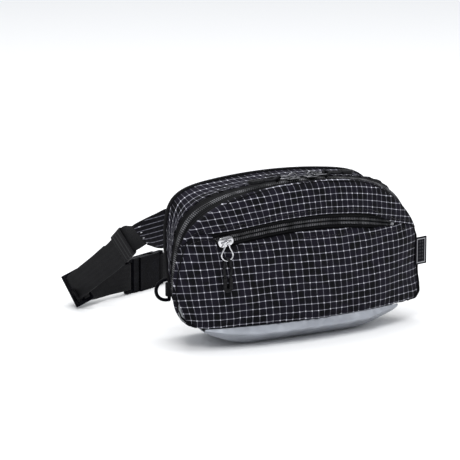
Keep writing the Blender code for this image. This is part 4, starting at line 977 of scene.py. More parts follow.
def back_and_pad():
    """The quilted mesh back, its bound edge, and the foam pad behind the lining."""
    loop = closed_outline("back", -0.0004)

    def quilted(x, z, r):
        inner = np.clip(1 - r**5, 0, 1) ** 0.6
        dip = [np.exp(-(((z - level - 0.05 * x**2 / 0.1) / 0.0022) ** 2)) for level in (0.047, 0.075, 0.103)]
        channels = sum(dip)
        held = 1 - ease((np.abs(x) - 0.070) / 0.020)
        return BACK_Y + BACK_SHEET_T + 0.0002 + held * (0.0034 * inner - 0.0022 * channels * inner)

    sheet = filled(loop, quilted, 70, flip=True)
    piece("back_mesh_panel", [sheet], MESH, "bag", ["back_panel"], wall=0.0022, weld=True)
    path = np.stack([loop[:, 0], np.full(len(loop), BACK_Y + 0.0012), loop[:, 1]], 1)
    along = unit(np.roll(path, -1, 0) - np.roll(path, 1, 0))
    across = np.broadcast_to(vec(0, 1, 0), path.shape)
    out = np.cross(across, along)
    profile = flat_profile(0.0044, 0.0022, count=1)
    bound = sweep(path, across, out, profile, closed=True)
    piece("back_binding", [bound], BINDING, "bag", weld=True)

    loop = closed_outline("back", 0.0068, SEAM_Z + 0.0065)
    crown = filled(loop, lambda x, z, r: 0.0247 - 0.0050 * np.clip(1 - r**8, 0, 1) ** 0.5, 44)
    flat = filled(loop, lambda x, z, r: np.full_like(x, 0.0247), 12, flip=True)
    pad = piece("back_foam", [crown, flat], FOAM, "bag", ["back_pad"], weld=True)

    loop = closed_outline("front", 0.0052, SEAM_Z + 0.0032)
    wall = filled(loop, lambda x, z, r: -0.0222 + 0.0006 * np.sin(50 * x + 30 * z) * (1 - r**4), 40)
    piece("pocket_backing", [wall], LINING, "front", ["pocket_wall"], wall=0.0007, weld=True)


def base():
    """Sections across the base, from the front seam over a ledge to the flat floor and up again; the
    depth of each falls off towards the pointed ends by a power of the distance past the flat."""
    share = np.linspace(-1, 1, 121)
    x_front = share * BASE_END_X
    x_back = share * (BACK_CORNER_X - 0.002)
    past = np.maximum(0, np.abs(x_front) - BASE_FLAT_HALF_L)
    depth = 1 - (1 - BASE_END_DEPTH) * (past / (BASE_END_X - BASE_FLAT_HALF_L)) ** BASE_RISE_POWER
    top = SEAM_Z - GAP
    front = np.stack([face_y(x_front), np.full_like(share, top)], 1)
    back = np.stack([np.full_like(share, BACK_Y + BACK_SHEET_T), np.full_like(share, top)], 1)
    low = top * (1 - depth)
    front_ledge = np.stack([front[:, 0] - BASE_LEDGE_OUT * depth, top - BASE_LEDGE_DROP * depth], 1)
    back_ledge = np.stack([back[:, 0] + BASE_LEDGE_OUT * depth, top - BASE_LEDGE_DROP * depth], 1)
    front_foot = np.stack([front[:, 0] * (1 - depth) + BASE_FRONT_FLAT_Y * depth, low], 1)
    back_foot = np.stack([back[:, 0] * (1 - depth) + BASE_BACK_FLAT_Y * depth, low], 1)
    under = np.stack([np.zeros_like(share), low], 1)
    tuck = vec(0, 0.0004)
    outline_rows = [front + tuck, front * 0.4 + front_ledge * 0.6, front_ledge]
    outline_rows += [front_ledge * 0.45 + front_foot * 0.55]
    outline_rows += [front_foot, under, back_foot, back_foot * 0.55 + back_ledge * 0.45, back_ledge]
    outline_rows += [back * 0.4 + back_ledge * 0.6, back + tuck]
    rows = []
    for a, b in zip(outline_rows, outline_rows[1:]):
        t = np.linspace(0, 1, 9)[:-1, None, None]
        rows.append(a[None] * (1 - t) + b[None] * t)
    rows = np.concatenate(rows + [outline_rows[-1][None]])
    for _ in range(2):
        rows[1:-1] = rows[1:-1] * 0.5 + (rows[:-2] + rows[2:]) * 0.25
    y, z = rows[..., 0], rows[..., 1]
    over = np.clip((y - front[None, :, 0]) / (back[None, :, 0] - front[None, :, 0]), 0, 1)
    x = x_front[None] * (1 - over) + x_back[None] * over
    girth = np.arange(len(rows))[:, None] / len(rows) * 0.11
    lift = np.clip(z / 0.012, 0, 1)
    lift = lift * np.clip((top - z) / 0.004, 0, 1)
    crease = 0.0007 * np.sin(2 * math.pi * x / 0.021 + 3 * np.sin(40 * x) + 25 * z) * lift
    seam_pucker = 0.0004 * np.sin(2 * math.pi * x / 0.0093 + 1.0) * np.exp(-(top - z) / 0.003)
    outward = np.where(over < 0.5, -1.0, 1.0)
    y = y + outward * (crease + seam_pucker)
    z = np.maximum(z, 0.0)
    uv = np.stack([x, np.broadcast_to(girth, x.shape)], -1)
    points = np.stack([x, y, z], -1)
    sheet = Grid(points, uv, flip=True)
    piece("silver_base", [sheet], SILVER, "bag", ["base_panel"], wall=0.0012)
    seam = np.stack([x_front, front[:, 0] - 0.0006, np.full_like(share, top - 0.0018)], 1)[3:-3]
    threads = thread_row(seam, np.broadcast_to(vec(0, -0.8, 0.6), seam.shape), 0.0030, 0.0022, 0.00022)
    piece("base_stitches", threads, plain_thread("grey_thread", (0.30, 0.31, 0.33)), "bag", weld=True)


# ---------------------------------------------------------------- belt
def strap(path, wide, width, thickness):
    """A flat woven strap along a path, v running across its width from the middle."""
    across, out = frames(path, wide)
    profile = np.array([flat_profile(w, thickness) for w in np.broadcast_to(width, len(path))])
    grid = sweep(path, across, out, profile)
    a = np.concatenate([profile[..., 0], profile[:, :1, 0]], axis=1)
    grid.uv[..., 1] = np.vstack([a[:1], a, a[-1:]])
    return grid


def route(controls, steps):
    """Path, width directions and widths through (place, width direction, width) controls."""
    places = smooth_path([c[0] for c in controls], steps)
    wides = smooth_path([c[1] for c in controls], steps)
    widths = smooth_path([[c[2]] for c in controls], steps)[:, 0]
    return places, unit(wides), widths


TIP, TIP_UP = vec(0.103, 0.0750, 0.0828), vec(0.565, 0.230, 0.797)
KEEPER_AT, KEEPER_UP = vec(0.106, 0.100, 0.0695), vec(0.240, 0.587, 0.771)
MALE_BAR = vec(-0.056, 0.190, 0.0166)
WAY = unit(vec(0.911, 0.411, 0.0))
ADJUSTER_AT = vec(-0.1180, 0.1690, 0.0178)
ADJUSTER_UP = unit(vec(-0.152, 0.641, 0.752))
UP = vec(0, 0, 1)
SIDE = unit(np.cross(UP, WAY))


def tip_frame(side):
    flip = vec(side, 1, 1)
    tip = TIP * flip
    along = unit(KEEPER_AT * flip - tip)
    wide = TIP_UP * flip
    wide = unit(wide - along * wide.dot(along))
    return tip, wide, along, np.cross(wide, along)


def wing(side, node):
    """A padded wing: an oval section that narrows from root to tip along a gentle bend."""
    root = vec(side * 0.1005, BACK_Y + BACK_SHEET_T + GAP, 0.097)
    tip, wide, along, normal = tip_frame(side)
    bend = root + vec(side * 0.0015, 0.020, -0.0065)
    lean = vec(side * 0.1, 0.22, 0.95)
    controls = [(root, UP, WING_ROOT_H), (bend, lean, WING_ROOT_H * 0.86), (tip, wide, WING_TIP_H)]
    path, wides, widths = route(controls, 16)
    across, out = frames(path, wides)
    share = np.linspace(0, 1, len(path))
    thick = WING_T * (1 - share) + (WEB_T + 0.0014) * share
    thick = thick * np.minimum(1, 0.55 + share * 6)
    angle = np.linspace(0, 2 * math.pi, 45)[:-1]
    c, s = np.cos(angle), np.sin(angle)
    a = np.sign(c) * np.abs(c) ** 0.75
    b = np.sign(s) * np.abs(s) ** 0.75
    quilt = 1 + 0.10 * np.sin(2 * math.pi * share * 5)[:, None] * (1 - a[None] ** 4)
    profile = np.stack([a[None] * widths[:, None] / 2, b[None] * thick[:, None] / 2 * quilt], -1)
    grid = sweep(path, across, out, profile)
    v = np.concatenate([profile[..., 0], profile[:, :1, 0]], axis=1)
    grid.uv[..., 1] = np.vstack([v[:1], v, v[-1:]]) + 0.0002
    name = "left" if side < 0 else "right"
    pad = piece("belt_wing_" + name, [grid], WING, "bag", [node], weld=True)
    for k, edge in enumerate((1, -1)):
        rim = path + across * (edge * widths[:, None] / 2)
        bound = sweep(rim, out, across * -edge, flat_profile(0.0030, 0.0013, count=1))
        if edge > 0:
            bound.flip = not bound.flip
        piece("wing_binding_%s_%d" % (name, k), [bound], BINDING, "bag", weld=True)
    grids = []
    for sign in (1, -1):
        for k, at in enumerate((-0.36, -0.12, 0.12, 0.36)):
            i = len(path) - 4 - int(k * 0.7)
            near = slice(i - 2, i + 3)
            seam = path[near] + across[near] * (at * widths[i]) + out[near] * (sign * thick[i] * 0.46)
            facing = np.broadcast_to(out[i] * sign, (9, 3))
            grids += thread_row(respaced(seam, 9), facing, 0.0050, 0.0036, 0.00050, 0.1)
    piece("wing_stitches_" + name, grids, PALE_THREAD, "bag", weld=True)


def arc_round(centre, radius, start, end, count):
    """Points of an arc about centre, from one direction to another that are square to ADJUSTER_UP."""
    angle = math.acos(np.clip(start.dot(end), -1, 1))
    turn = np.cross(ADJUSTER_UP, start)
    if turn.dot(end) < 0:
        turn = -turn
    t = np.linspace(0, angle, count)[:, None]
    return centre + (start * np.cos(t) + turn * np.sin(t)) * radius


def belt_left():
    """Left strap: out from the wing, round the adjuster's bar, doubled to the buckle and back."""
    keeper, keeper_up = KEEPER_AT * vec(-1, 1, 1), KEEPER_UP * vec(-1, 1, 1)
    up, centre = ADJUSTER_UP, ADJUSTER_AT

    def square(v):
        return unit(v - up * v.dot(up))

    into, away = square(centre - keeper), square(MALE_BAR - WAY * 0.012 - centre)
    out_a, out_b = unit(np.cross(up, into)), unit(np.cross(up, away))
    split = WEB_T / 2 + GAP
    inner_r = ADJUSTER_BAR * math.sqrt(0.5) + GAP + WEB_T / 2
    outer_r, mid_r = inner_r + 2 * split, inner_r + split
    tip, wide, along, _ = tip_frame(-1)
    leg_a_end = centre + out_a * mid_r
    held_up = unit(keeper_up - into * keeper_up.dot(into))
    middle = keeper + out_a * split
    entry = middle - into * (KEEPER_W / 2 + 0.0015)
    leave = middle + into * (KEEPER_W / 2 + 0.0015 + KEEPER_TRAVEL)
    narrow = WING_TIP_H - 0.001
    near_bar = leg_a_end + out_a * split - into * 0.004
    runs = [(tip + along * GAP, wide, narrow)]
    runs += [(tip * 0.5 + entry * 0.5, unit(wide + held_up), (narrow + WEB_W) / 2)]
    runs += [(entry, held_up, WEB_W), (middle, held_up, WEB_W), (leave, held_up, WEB_W)]
    runs += [(leave * 0.5 + near_bar * 0.5, unit(held_up + up), WEB_W), (near_bar, up, WEB_W)]
    runs += [(p, up, WEB_W) for p in arc_round(centre, outer_r, out_a, out_b, 7)]

    bar_gap = BAR_R + GAP + WEB_T / 2
    near, start = MALE_BAR - WAY * 0.010, centre + out_b * mid_r + away * 0.004
    tilted = out_b * 0.7 + SIDE * 0.3
    legs = {}
    for sign in (1, -1):
        legs[sign] = [
            (start + out_b * sign * split, up, WEB_W),
            (start * 0.67 + near * 0.33 + tilted * sign * split, up * 0.6 + UP * 0.4, WEB_W),
            (start * 0.33 + near * 0.67 + SIDE * sign * split, UP, WEB_W),
            (near + SIDE * sign * (split + 0.0006), UP, WEB_W),
            (MALE_BAR + SIDE * sign * bar_gap - WAY * 0.001, UP, WEB_W),
        ]
    turn = np.linspace(0, math.pi, 9)
    loop = [(MALE_BAR + (SIDE * math.cos(a) + WAY * math.sin(a)) * bar_gap, UP, WEB_W) for a in turn]
    inner = [(p, up, WEB_W) for p in arc_round(centre, inner_r, out_b, out_a, 7)]
    inner.append((leg_a_end - out_a * split - into * 0.004, up, WEB_W))
    inner.append((keeper * 0.5 + leg_a_end * 0.5 - out_a * split, unit(keeper_up + up), WEB_W))
    inner.append((keeper * 0.7 + leg_a_end * 0.3 - out_a * split, unit(keeper_up * 0.7 + up * 0.3), WEB_W))
    stations = runs + legs[1] + loop + legs[-1][::-1] + inner
    path, wides, widths = route(stations, 4)
    belt = strap(path, wides, widths, WEB_T)
    piece("strap_left", [belt], WEBBING, "bag", ["webbing_left"], weld=True)

    outward = unit(out_a + out_b)
    slot = outer_r + WEB_T / 2 + 2 * GAP - ADJUSTER_BAR / 2
    edge = centre + outward * (ADJUSTER_BAR + slot - 0.0006)
    bar = respaced(np.array([edge - up * 0.0158, edge + up * 0.0158]), 21)
    fuller = np.array([flat_profile(0.0040, 0.0036, 0.0014)] * len(bar))
    facing = np.broadcast_to(np.cross(outward, up), bar.shape)
    bar_grid = sweep(bar, np.broadcast_to(outward, bar.shape), facing, fuller)
    piece("adjuster_outer_bar", [bar_grid], PLASTIC, "adjuster", weld=True)

    room = 2 * GAP
    half_w, half_t = (WEB_W + room + KEEPER_T) / 2, (WEB_T + room + KEEPER_T) / 2
    corner = half_t * 0.95
    held_n = np.cross(held_up, into)
    around = []
    for cx, cy, first in ((1, -1, -90), (1, 1, 0), (-1, 1, 90), (-1, -1, 180)):
        for angle in np.radians(first + np.linspace(0, 90, 6)):
            a = cx * (half_w - corner) + corner * math.cos(angle)
            b = cy * (half_t - corner) + corner * math.sin(angle)
            around.append(middle + held_up * a + held_n * b)
    loop_path = respaced(np.array(around + around[:1]), 97)[:-1]
    out = loop_path - middle
    flat = np.clip(out @ held_up, -(half_w - corner), half_w - corner)
    out = unit(out - held_up * flat[:, None])
    section = flat_profile(KEEPER_W, KEEPER_T)
    sleeve = sweep(loop_path, np.broadcast_to(into, loop_path.shape), out, section, closed=True)
    sleeve.uv[..., 1] = np.append(section[:, 0], section[0, 0])[None]
    piece("strap_keeper", [sleeve], ELASTIC, "keeper", ["elastic_keeper"], weld=True)


def belt_right():
    """Right strap: from the buckle's far bar in a wide bend round to the wing, its end doubled back."""
    bar = MALE_BAR + WAY * BUCKLE_L
    tip, wide, along, _ = tip_frame(1)
    bar_gap, split = BAR_R + GAP + WEB_T / 2, WEB_T / 2 + GAP
    floor = MALE_BAR[2]
    turn = np.linspace(0, math.pi, 9)
    inner = [
        (bar - SIDE * split + WAY * 0.028, UP, WEB_W),
        (bar - SIDE * (split + 0.0006) + WAY * 0.010, UP, WEB_W),
        (bar - SIDE * bar_gap + WAY * 0.001, UP, WEB_W),
    ]
    loop = [(bar + (SIDE * math.cos(a) - WAY * math.sin(a)) * bar_gap, UP, WEB_W) for a in turn[::-1]]
    level = [
        (bar + SIDE * bar_gap + WAY * 0.001, UP, WEB_W),
        (bar + SIDE * (split + 0.0006) + WAY * 0.010, UP, WEB_W),
        (bar + SIDE * split + WAY * 0.028, UP, WEB_W),
        (vec(0.0480, 0.2290, floor), UP, WEB_W),
        (vec(0.0800, 0.2180, floor), UP, WEB_W),
        (vec(0.1060, 0.1920, floor + 0.004), unit(vec(0.1, 0.1, 0.98)), WEB_W),
        (vec(0.1180, 0.1560, 0.0330), unit(vec(0.2, 0.4, 0.88)), WEB_W),
        (vec(0.1140, 0.1250, 0.0520), unit(vec(0.24, 0.55, 0.80)), WEB_W),
        (KEEPER_AT, KEEPER_UP, WEB_W),
        (tip + along * GAP, wide, WING_TIP_H - 0.001),
    ]
    path, wides, widths = route(inner + loop + level, 6)
    body = ("bag", "buckle_female", (0.112, 0.140, 0.042), tuple(bar + WAY * 0.030))
    belt = strap(path, wides, widths, WEB_T)
    # painted shade: the right strap takes the darker copy of the webbing
    piece("strap_right", [belt], SHADED_WEBBING, body, ["webbing_right"], weld=True)


# ---------------------------------------------------------------- fittings
def rounded(name, node, width, finish, body, segments=3):
    """A moulded part with softened edges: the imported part's faces rejoined, then bevelled."""
    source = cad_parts[node]
    mesh = source.data.copy()
    mesh.name = name
    bm = bmesh.new()
    bm.from_mesh(mesh)
    bmesh.ops.remove_doubles(bm, verts=bm.verts, dist=1e-5)
    bmesh.ops.dissolve_limit(bm, angle_limit=math.radians(1.5), verts=bm.verts, edges=bm.edges)
    bm.to_mesh(mesh)
    bm.free()
    mesh.materials.clear()
    mesh.materials.append(finish)
    mesh.polygons.foreach_set("use_smooth", np.ones(len(mesh.polygons), dtype=bool))
    mesh.set_sharp_from_angle(angle=math.radians(50))
    obj = bpy.data.objects.new(name, mesh)
    bpy.context.scene.collection.objects.link(obj)
    soft = obj.modifiers.new("soft edges", "BEVEL")
    soft.width, soft.segments, soft.limit_method = width, segments, "ANGLE"
    soft.angle_limit = math.radians(35)
    soft.harden_normals = True
    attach(obj, body)
    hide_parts(node)
    return obj


class Place:
    """A fitting's own axes: x along, z out of the surface, y across."""

    def __init__(self, origin, along, out):
        self.origin = np.asarray(origin, float)
        self.x = unit(along)
        self.z = unit(out - self.x * np.dot(out, self.x))
        self.y = np.cross(self.z, self.x)

    def at(self, p):
        p = np.asarray(p, float)
        return self.origin + p[..., :1] * self.x + p[..., 1:2] * self.y + p[..., 2:] * self.z

    def turned(self):
        return Place(self.origin, -self.y, self.z)


def tube(place, points, radius, closed=True, count=12, hint=(0, 0, 1)):
    """A round wire through local points."""
    path = place.at(np.asarray(points, float))
    if closed:
        along = unit(np.roll(path, -1, 0) - np.roll(path, 1, 0))
    else:
        along = tangents(path)
    side = place.at(np.asarray(hint, float)) - place.origin
    across = unit(side - along * (along @ side)[:, None])
    out = np.cross(across, along)
    return sweep(path, across, out, round_profile(radius, count), closed=closed)


def loop_of(points, count=64):
    """A closed smooth loop through the points, evenly spaced."""
    p = np.asarray(points, float)
    wrapped = np.vstack([p[-2:], p, p[:3]])
    fine = smooth_path(wrapped, 8)[16 : 16 + 8 * len(p) + 1]
    return respaced(fine, count + 1)[:-1]


SLIDER_L, SLIDER_W, SLIDER_LIFT, PLATE_T = 0.0140, 0.0098, 0.0009, 0.0012
BRIDGE_R, BRIDGE_L, BRIDGE_H = 0.0007, 0.0084, 0.0040
LINK_R, LINK_EYE_R, LINK_W, LINK_L = 0.00065, 0.0018, 0.0102, 0.0150
CORD_R, CORD_W, CORD_L = 0.0012, 0.0050, 0.0145
GRIP_L, GRIP_W, GRIP_T = 0.0125, 0.0086, 0.0034
BRIDGE_TOP = SLIDER_LIFT + PLATE_T - 0.0004 + BRIDGE_H
COIL_T = 0.0024


def oval_plate(place, length, width, low, high, dome):
    """A closed oval plate, narrower at its tail: rings from the middle of the top over a rounded rim
    to the middle of the underside; the top is raised by dome (1 - r^2)."""
    angle = np.linspace(0, 2 * math.pi, 49)[:-1]
    c, s = np.cos(angle), np.sin(angle)
    x = length / 2 * np.sign(c) * np.abs(c) ** 0.75
    y = width / 2 * np.sign(s) * np.abs(s) ** 0.75 * (1 - 0.07 * (1 - 2 * x / length))
    thick = high - low
    r_top = np.linspace(0, 0.9, 8)
    turn = np.linspace(0, math.pi, 7)
    r = np.concatenate([r_top, 0.9 + 0.1 * np.sin(turn), r_top[::-1]])
    rim = (low + high) / 2 + thick / 2 * np.cos(turn)
    z = np.concatenate([high + dome * (1 - (r_top / 0.9) ** 2), rim, np.full(8, low)])
    points = np.stack(np.broadcast_arrays(r[:, None] * x[None], r[:, None] * y[None], z[:, None]), -1)
    uv = np.zeros((len(r), len(x) + 1, 2))
    return Grid(place.at(points), uv, wrap=True, flip=True)


def slider_body(place):
    """Upper and lower plates, the blade between them and the bridge that holds the pull."""
    grids = [oval_plate(place, SLIDER_L, SLIDER_W, SLIDER_LIFT, SLIDER_LIFT + PLATE_T, 0.0005)]
    low = -COIL_T - 0.0006
    grids.append(oval_plate(place, SLIDER_L, SLIDER_W * 0.9, low - PLATE_T, low, 0.0))
    blade = Place(place.at(vec(SLIDER_L * 0.25, 0, 0)), place.x, place.z)
    grids.append(oval_plate(blade, SLIDER_L * 0.3, 0.0006, low - 0.0004, SLIDER_LIFT + 0.0004, 0.0))
    angle = np.linspace(0, math.pi, 25)
    rise = BRIDGE_TOP - BRIDGE_H + BRIDGE_H * np.sin(angle) ** 0.7
    arch = np.stack([-BRIDGE_L / 2 * np.cos(angle), 0 * angle, rise], 1)
    grids.append(tube(place, arch, BRIDGE_R, closed=False, hint=(0, 1, 0)))
    return grids


def stirrup():
    """Half the link: from the eye it widens by a smooth step, then closes in a half circle."""
    half, start = LINK_W / 2, LINK_EYE_R + LINK_R * 0.6
    t = np.linspace(0, 1, 6)
    side = np.stack([half * (0.34 + 0.66 * t * t * (3 - 2 * t)), -start - (LINK_L - half) * 0.86 * t], 1)
    angle = math.pi * np.arange(1, 8) / 8
    end = np.stack([half * np.cos(angle), side[-1, 1] - half * np.sin(angle)], 1)
    return np.vstack([side, end, side[::-1] * vec(-1, 1)])


def flat_loop():
    """Half the flat link: narrow under the bridge, widening to a rounded end."""
    half, near = LINK_W / 2, 0.0023
    side = np.array([(near, -0.0016), (near * 1.1, -0.0030), (half * 0.8, -0.0066), (half, -0.0100)])
    angle = math.pi * np.arange(1, 8) / 8
    end = np.stack([half * np.cos(angle), -0.0100 - half * 0.9 * np.sin(angle)], 1)
    return np.vstack([side, end, side[::-1] * vec(-1, 1)])


def pull(prefix, body, place, flat=False, droop=0.0):
    """Link, braided cord loop and moulded grip of one pull, along local -y."""
    if flat:
        level, shape = SLIDER_LIFT + PLATE_T + GAP + LINK_R, flat_loop()
    else:
        level, shape = BRIDGE_TOP - (LINK_EYE_R - BRIDGE_R - LINK_R - 0.0002), stirrup()
    shape = np.column_stack([shape, np.full(len(shape), level)])
    reach = shape[:, 1].min()
    grids = [tube(place, loop_of(shape, 72), LINK_R, count=12)]
    if not flat:
        angle = np.linspace(0, 2 * math.pi, 33)[:-1]
        eye = np.stack([0 * angle, LINK_EYE_R * np.cos(angle), level + LINK_EYE_R * np.sin(angle)], 1)
        grids.append(tube(place, eye, LINK_R, count=10, hint=(1, 0, 0)))
    # painted shade: the flat links take the darker copy of the chrome
    plating = SHADED_CHROME if flat else CHROME
    piece(prefix + "_wire_link", grids, plating, body, [prefix + "_link"], weld=True)

    half, turn = CORD_W / 2, CORD_R + LINK_R + GAP
    far, low = reach - CORD_L, level - droop
    angle = math.pi * (0.5 - np.arange(9) / 8)
    side = half * (1 - np.arange(9) / 4) * 0.8
    over = np.stack([side, reach + turn * np.cos(angle), level + turn * np.sin(angle)], 1)
    belly = (-half * 1.3, (reach + far) / 2, (level + low) / 2)
    down = np.array([(-half, reach - 0.0035, level + 0.0005), belly, (-half * 0.9, far, low)])
    up = down[::-1] * vec(-1, 1, 1)
    cord_path = respaced(smooth_path(np.vstack([up, over, down]), 6), 120)
    cord = tube(place, cord_path, CORD_R, closed=False, count=12, hint=(0.3, 0.1, 1))
    piece(prefix + "_braid", [cord], CORD, body, [prefix + "_cord"], weld=True)

    top = far - GAP - CORD_R * (droop > 0)
    leg = GRIP_W / 2 - 0.0016
    t = np.linspace(0, 1, 9)
    side = np.stack([leg * (0.92 + 0.08 * t), top - (GRIP_L - 0.0042) * t, np.full_like(t, low)], 1)
    angle = math.pi * np.arange(1, 10) / 10
    bend = np.stack([leg * np.cos(angle), side[-1, 1] - 0.0026 * np.sin(angle), np.full_like(angle, low)], 1)
    loop = place.at(respaced(np.vstack([side, bend, side[::-1] * vec(-1, 1, 1)]), 81))
    out = np.broadcast_to(place.z, loop.shape)
    across = np.cross(tangents(loop), out)
    angle = np.linspace(0, 2 * math.pi, 21)[:-1]
    c, s = np.cos(angle), np.sin(angle)
    ring = np.stack([0.0016 * np.sign(c) * np.abs(c) ** 0.6, GRIP_T / 2 * np.sign(s) * np.abs(s) ** 0.6], 1)
    ribs = 1 - 0.10 * (np.sin(np.linspace(0, 1, 81) * 2 * math.pi * 9) > 0.3)
    profile = np.stack([np.broadcast_to(ring[:, 0], (81, 20)), ring[None, :, 1] * ribs[:, None]], -1)
    grip = sweep(loop, across, out, profile)
    piece(prefix + "_moulded_grip", [grip], GRIP, body, [prefix + "_grip"], weld=True)


POCKET_START_X = -0.0795
MAIN_PARK_X = 0.0095


def sliders():
    x = POCKET_START_X
    sink = FRONT_T + GAP

    def on_coil(at):
        return vec(at, float(face_y(at)) + sink, float(zip_z(at)))

    place = on_coil(x)
    out = vec(x / FRONT_R, -math.sqrt(1 - (x / FRONT_R) ** 2), 0)
    body = slider_body(Place(place, on_coil(x - 0.001) - place, out))
    piece("pocket_slider_body", body, CHROME, "pocket_slider", ["pocket_slider"], weld=True)
    pull("pocket_pull", "pocket_pull", Place(place, np.cross(UP, out), out), droop=-0.0018)

    share = (TAPE_W + COIL_W + COIL_SLOT / 2) / (BACK_Y - float(face_y(0.0)) - FRONT_T)
    top_z = TOP_Z + (BACK_TOP_Z - TOP_Z) * share + 0.0002
    top_r = 1 / ((1 - share) / TOP_R + share / BACK_TOP_R)
    for side, word in ((-1, "left"), (1, "right")):
        x = side * MAIN_PARK_X
        angle = math.asin(x / top_r)
        out = vec(math.sin(angle), 0, math.cos(angle))
        y = float(face_y(x)) + FRONT_T + GAP + TAPE_W + COIL_W + COIL_SLOT / 2
        along = vec(-side * math.cos(angle), -side * x / FRONT_R, side * math.sin(angle))
        spot = Place(vec(0, y, top_z - top_r) + out * top_r, along, out)
        name = "main_slider_" + word
        # painted shade: the main sliders take the darker copy of the chrome
        piece(name + "_body", slider_body(spot), SHADED_CHROME, name, [name], weld=True)
        pull("main_pull_" + word, "main_pull_" + word, spot.turned(), True, 0.0001)


def side_ring():
    """Moulded D-ring and the folded tab of webbing that holds it."""
    centre = vec(-0.0990, 0.0306, 0.0420)
    half, reach, wire = 0.00925, 0.0130, 0.0016
    angle = np.linspace(0, math.pi, 40)
    bow = np.stack([-reach * np.sin(angle) ** 0.8, 0 * angle, half * np.cos(angle)], 1)
    bar = np.stack([np.zeros(14), np.zeros(14), np.linspace(-half, half, 16)[1:-1]], 1)
    ring = Place(centre, vec(1, 0, 0), vec(0, 0, 1))
    loop = respaced(np.vstack([bow, bar, bow[:1]]), 97)[:-1]
    wire_loop = tube(ring, loop, wire, hint=(0, 1, 0))
    piece("side_d_ring", [wire_loop], PLASTIC, "d_ring", ["d_ring"], weld=True)
    turn = wire + GAP + WEB_T / 2
    angle = np.linspace(0, math.pi, 13)
    fold = np.stack([-np.sin(angle), -np.cos(angle), 0 * angle], 1) * turn
    near, far = [(0.012, -turn, 0), (0.004, -turn, 0)], [(0.004, turn, 0), (0.012, turn * 0.9, 0)]
    path = respaced(np.vstack([near, fold, far]) + centre, 50)
    tab = strap(path, UP, 0.0120, WEB_T)
    # painted shade: the tab takes the darker copy of the webbing
    piece("ring_tab", [tab], SHADED_WEBBING, "bag", ["d_ring_tab"], weld=True)


def side_tag():
    """Woven label sewn into the side seam, standing out past the edge and curling a little."""
    width, height, thick, x = 0.0136, 0.0250, 0.0012, 0.1195
    out = vec(x / FRONT_R, -math.sqrt(1 - (x / FRONT_R) ** 2), 0)
    along = vec(-out[1], out[0], 0)
    start = vec(x, float(face_y(x)), 0.0625) + out * (GAP + thick / 2)
    t = np.linspace(0, 1, 24)
    path = start + along * (t * width)[:, None] + out * (0.0012 * t**2)[:, None]
    tag = strap(path, UP, height, thick)
    tag.uv[..., 0] -= width / 2
    piece("woven_side_label", [tag], LABEL, "front", ["side_label"], weld=True)


def fittings():
    sliders()
    side_ring()
    side_tag()
    rounded("buckle_plug", "buckle_male", 0.0006, PLASTIC, "bag")
    rounded("buckle_socket", "buckle_female", 0.0009, PLASTIC, "buckle_female")
    rounded("buckle_arm_low", "buckle_arm_lower", 0.0005, PLASTIC, "buckle_arm_lower")
    rounded("buckle_arm_high", "buckle_arm_upper", 0.0005, PLASTIC, "buckle_arm_upper")
    rounded("strap_adjuster", "adjuster", 0.0007, PLASTIC, "adjuster")


# ---------------------------------------------------------------- stitches and the zip's ends
def seams(low_points, up_points):
    """Rows of thread along the panels' edges, and bar tacks at the right end of the pocket zip."""
    def along_row(points, row, offset_out):
        path = points[row, 8:-8] + vec(0, -offset_out, 0)
        return respaced(path, 240)

    out = np.broadcast_to(vec(0, -1, 0), (240, 3))
    rows = thread_row(along_row(low_points, -9, 0.0001), out, 0.0032, 0.0024, 0.00016)
    piece("lip_stitches_lower", rows, BLACK_THREAD, "front", weld=True)
    rows = thread_row(along_row(up_points, 8, 0.0001), out, 0.0032, 0.0024, 0.00016)
    piece("lip_stitches_upper", rows, BLACK_THREAD, "front", weld=True)

    tacks = []
    for k in range(3):
        x = SLOT_RIGHT_X - 0.0065 + k * 0.0011
        z = np.linspace(-0.0030, 0.0030, 7)
        path = np.stack([x + 0.2 * z, face_y(x) + 0.0 * z - 0.0003, zip_z(x) + z], 1)
        facing = np.broadcast_to(vec(0, -1, 0), path.shape)
        tacks += thread_row(settle(path), facing, 0.0034, 0.0026, 0.00028)
    piece("zip_end_tacks", tacks, PALE_THREAD, "front", weld=True)


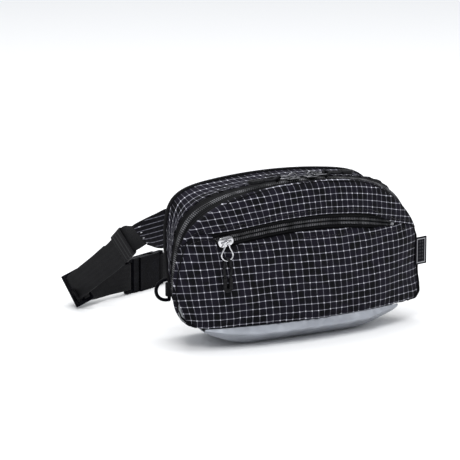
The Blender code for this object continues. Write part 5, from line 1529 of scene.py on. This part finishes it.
# ---------------------------------------------------------------- floor, light and camera
def studio():
    floor_mesh = bpy.data.meshes.new("floor")
    floor_mesh.from_pydata([(-6, -4, 0), (6, -4, 0), (6, 8, 0), (-6, 8, 0)], [], [(0, 1, 2, 3)])
    floor = bpy.data.objects.new("floor", floor_mesh)
    bpy.context.scene.collection.objects.link(floor)
    paper = Finish("floor_paper", (0.90, 0.90, 0.90), 0.9)
    floor.data.materials.append(paper.made)

    world = bpy.data.worlds.new("studio")
    bpy.context.scene.world = world
    world.use_nodes = True
    tree = world.node_tree
    height = tree.nodes.new("ShaderNodeSeparateXYZ")
    tree.links.new(tree.nodes.new("ShaderNodeTexCoord").outputs["Generated"], height.inputs[0])
    sky = tree.nodes.new("ShaderNodeMapRange")
    tree.links.new(height.outputs[2], sky.inputs[0])
    for i, value in enumerate((-0.05, 0.75, 0.16, 0.95)):
        sky.inputs[i + 1].default_value = value
    tree.links.new(sky.outputs[0], tree.nodes["Background"].inputs[1])
    tree.nodes["Background"].inputs[0].default_value = (0.95, 0.97, 1.0, 1.0)
    bpy.context.scene.view_settings.view_transform = "Standard"

    def panel(name, place, target, size, power, colour=(1, 1, 1)):
        light = bpy.data.lights.new(name, "AREA")
        light.shape, light.size, light.energy, light.color = "SQUARE", size, power, colour
        lamp = bpy.data.objects.new(name, light)
        bpy.context.scene.collection.objects.link(lamp)
        aim(lamp, place, target)

    panel("key", (-0.9, -1.1, 1.7), (0, 0, 0.05), 0.8, 15)
    panel("top", (0.1, 0.3, 2.2), (0, 0.05, 0.05), 1.6, 30)
    panel("fill", (1.4, -0.9, 0.8), (0, 0, 0.07), 0.9, 3)


def aim(obj, place, target):
    """Puts a lamp or the camera at place with its own -Z towards target and its +Y up."""
    back = unit(vec(*place) - vec(*target))
    right = unit(np.cross(UP, back))
    above = np.cross(back, right)
    rows = [[right[i], above[i], back[i], place[i]] for i in range(3)] + [[0, 0, 0, 1]]
    obj.matrix_world = Matrix([[float(v) for v in row] for row in rows])


VIEW_TARGET = vec(-0.0325, 0.0399, 0.0860)
VIEW_AZIMUTH, VIEW_ELEVATION = math.radians(-30), math.radians(12)
VIEW_DISTANCE, VIEW_WIDTH = 2.5, 0.4056


def camera():
    data = bpy.data.cameras.new("view")
    data.sensor_width = 36
    data.lens = data.sensor_width * VIEW_DISTANCE / VIEW_WIDTH
    data.clip_end = 30
    obj = bpy.data.objects.new("view", data)
    bpy.context.scene.collection.objects.link(obj)
    level = math.cos(VIEW_ELEVATION)
    back = vec(math.sin(VIEW_AZIMUTH) * level, -math.cos(VIEW_AZIMUTH) * level, math.sin(VIEW_ELEVATION))
    aim(obj, VIEW_TARGET + back * VIEW_DISTANCE, VIEW_TARGET)
    bpy.context.scene.camera = obj


low_cloth, up_cloth = front_panels()
main_zip()
pocket_zip()
side_cloth()
back_and_pad()
base()
wing(-1, "wing_left")
wing(1, "wing_right")
belt_left()
belt_right()
fittings()
seams(low_cloth, up_cloth)
studio()
camera()
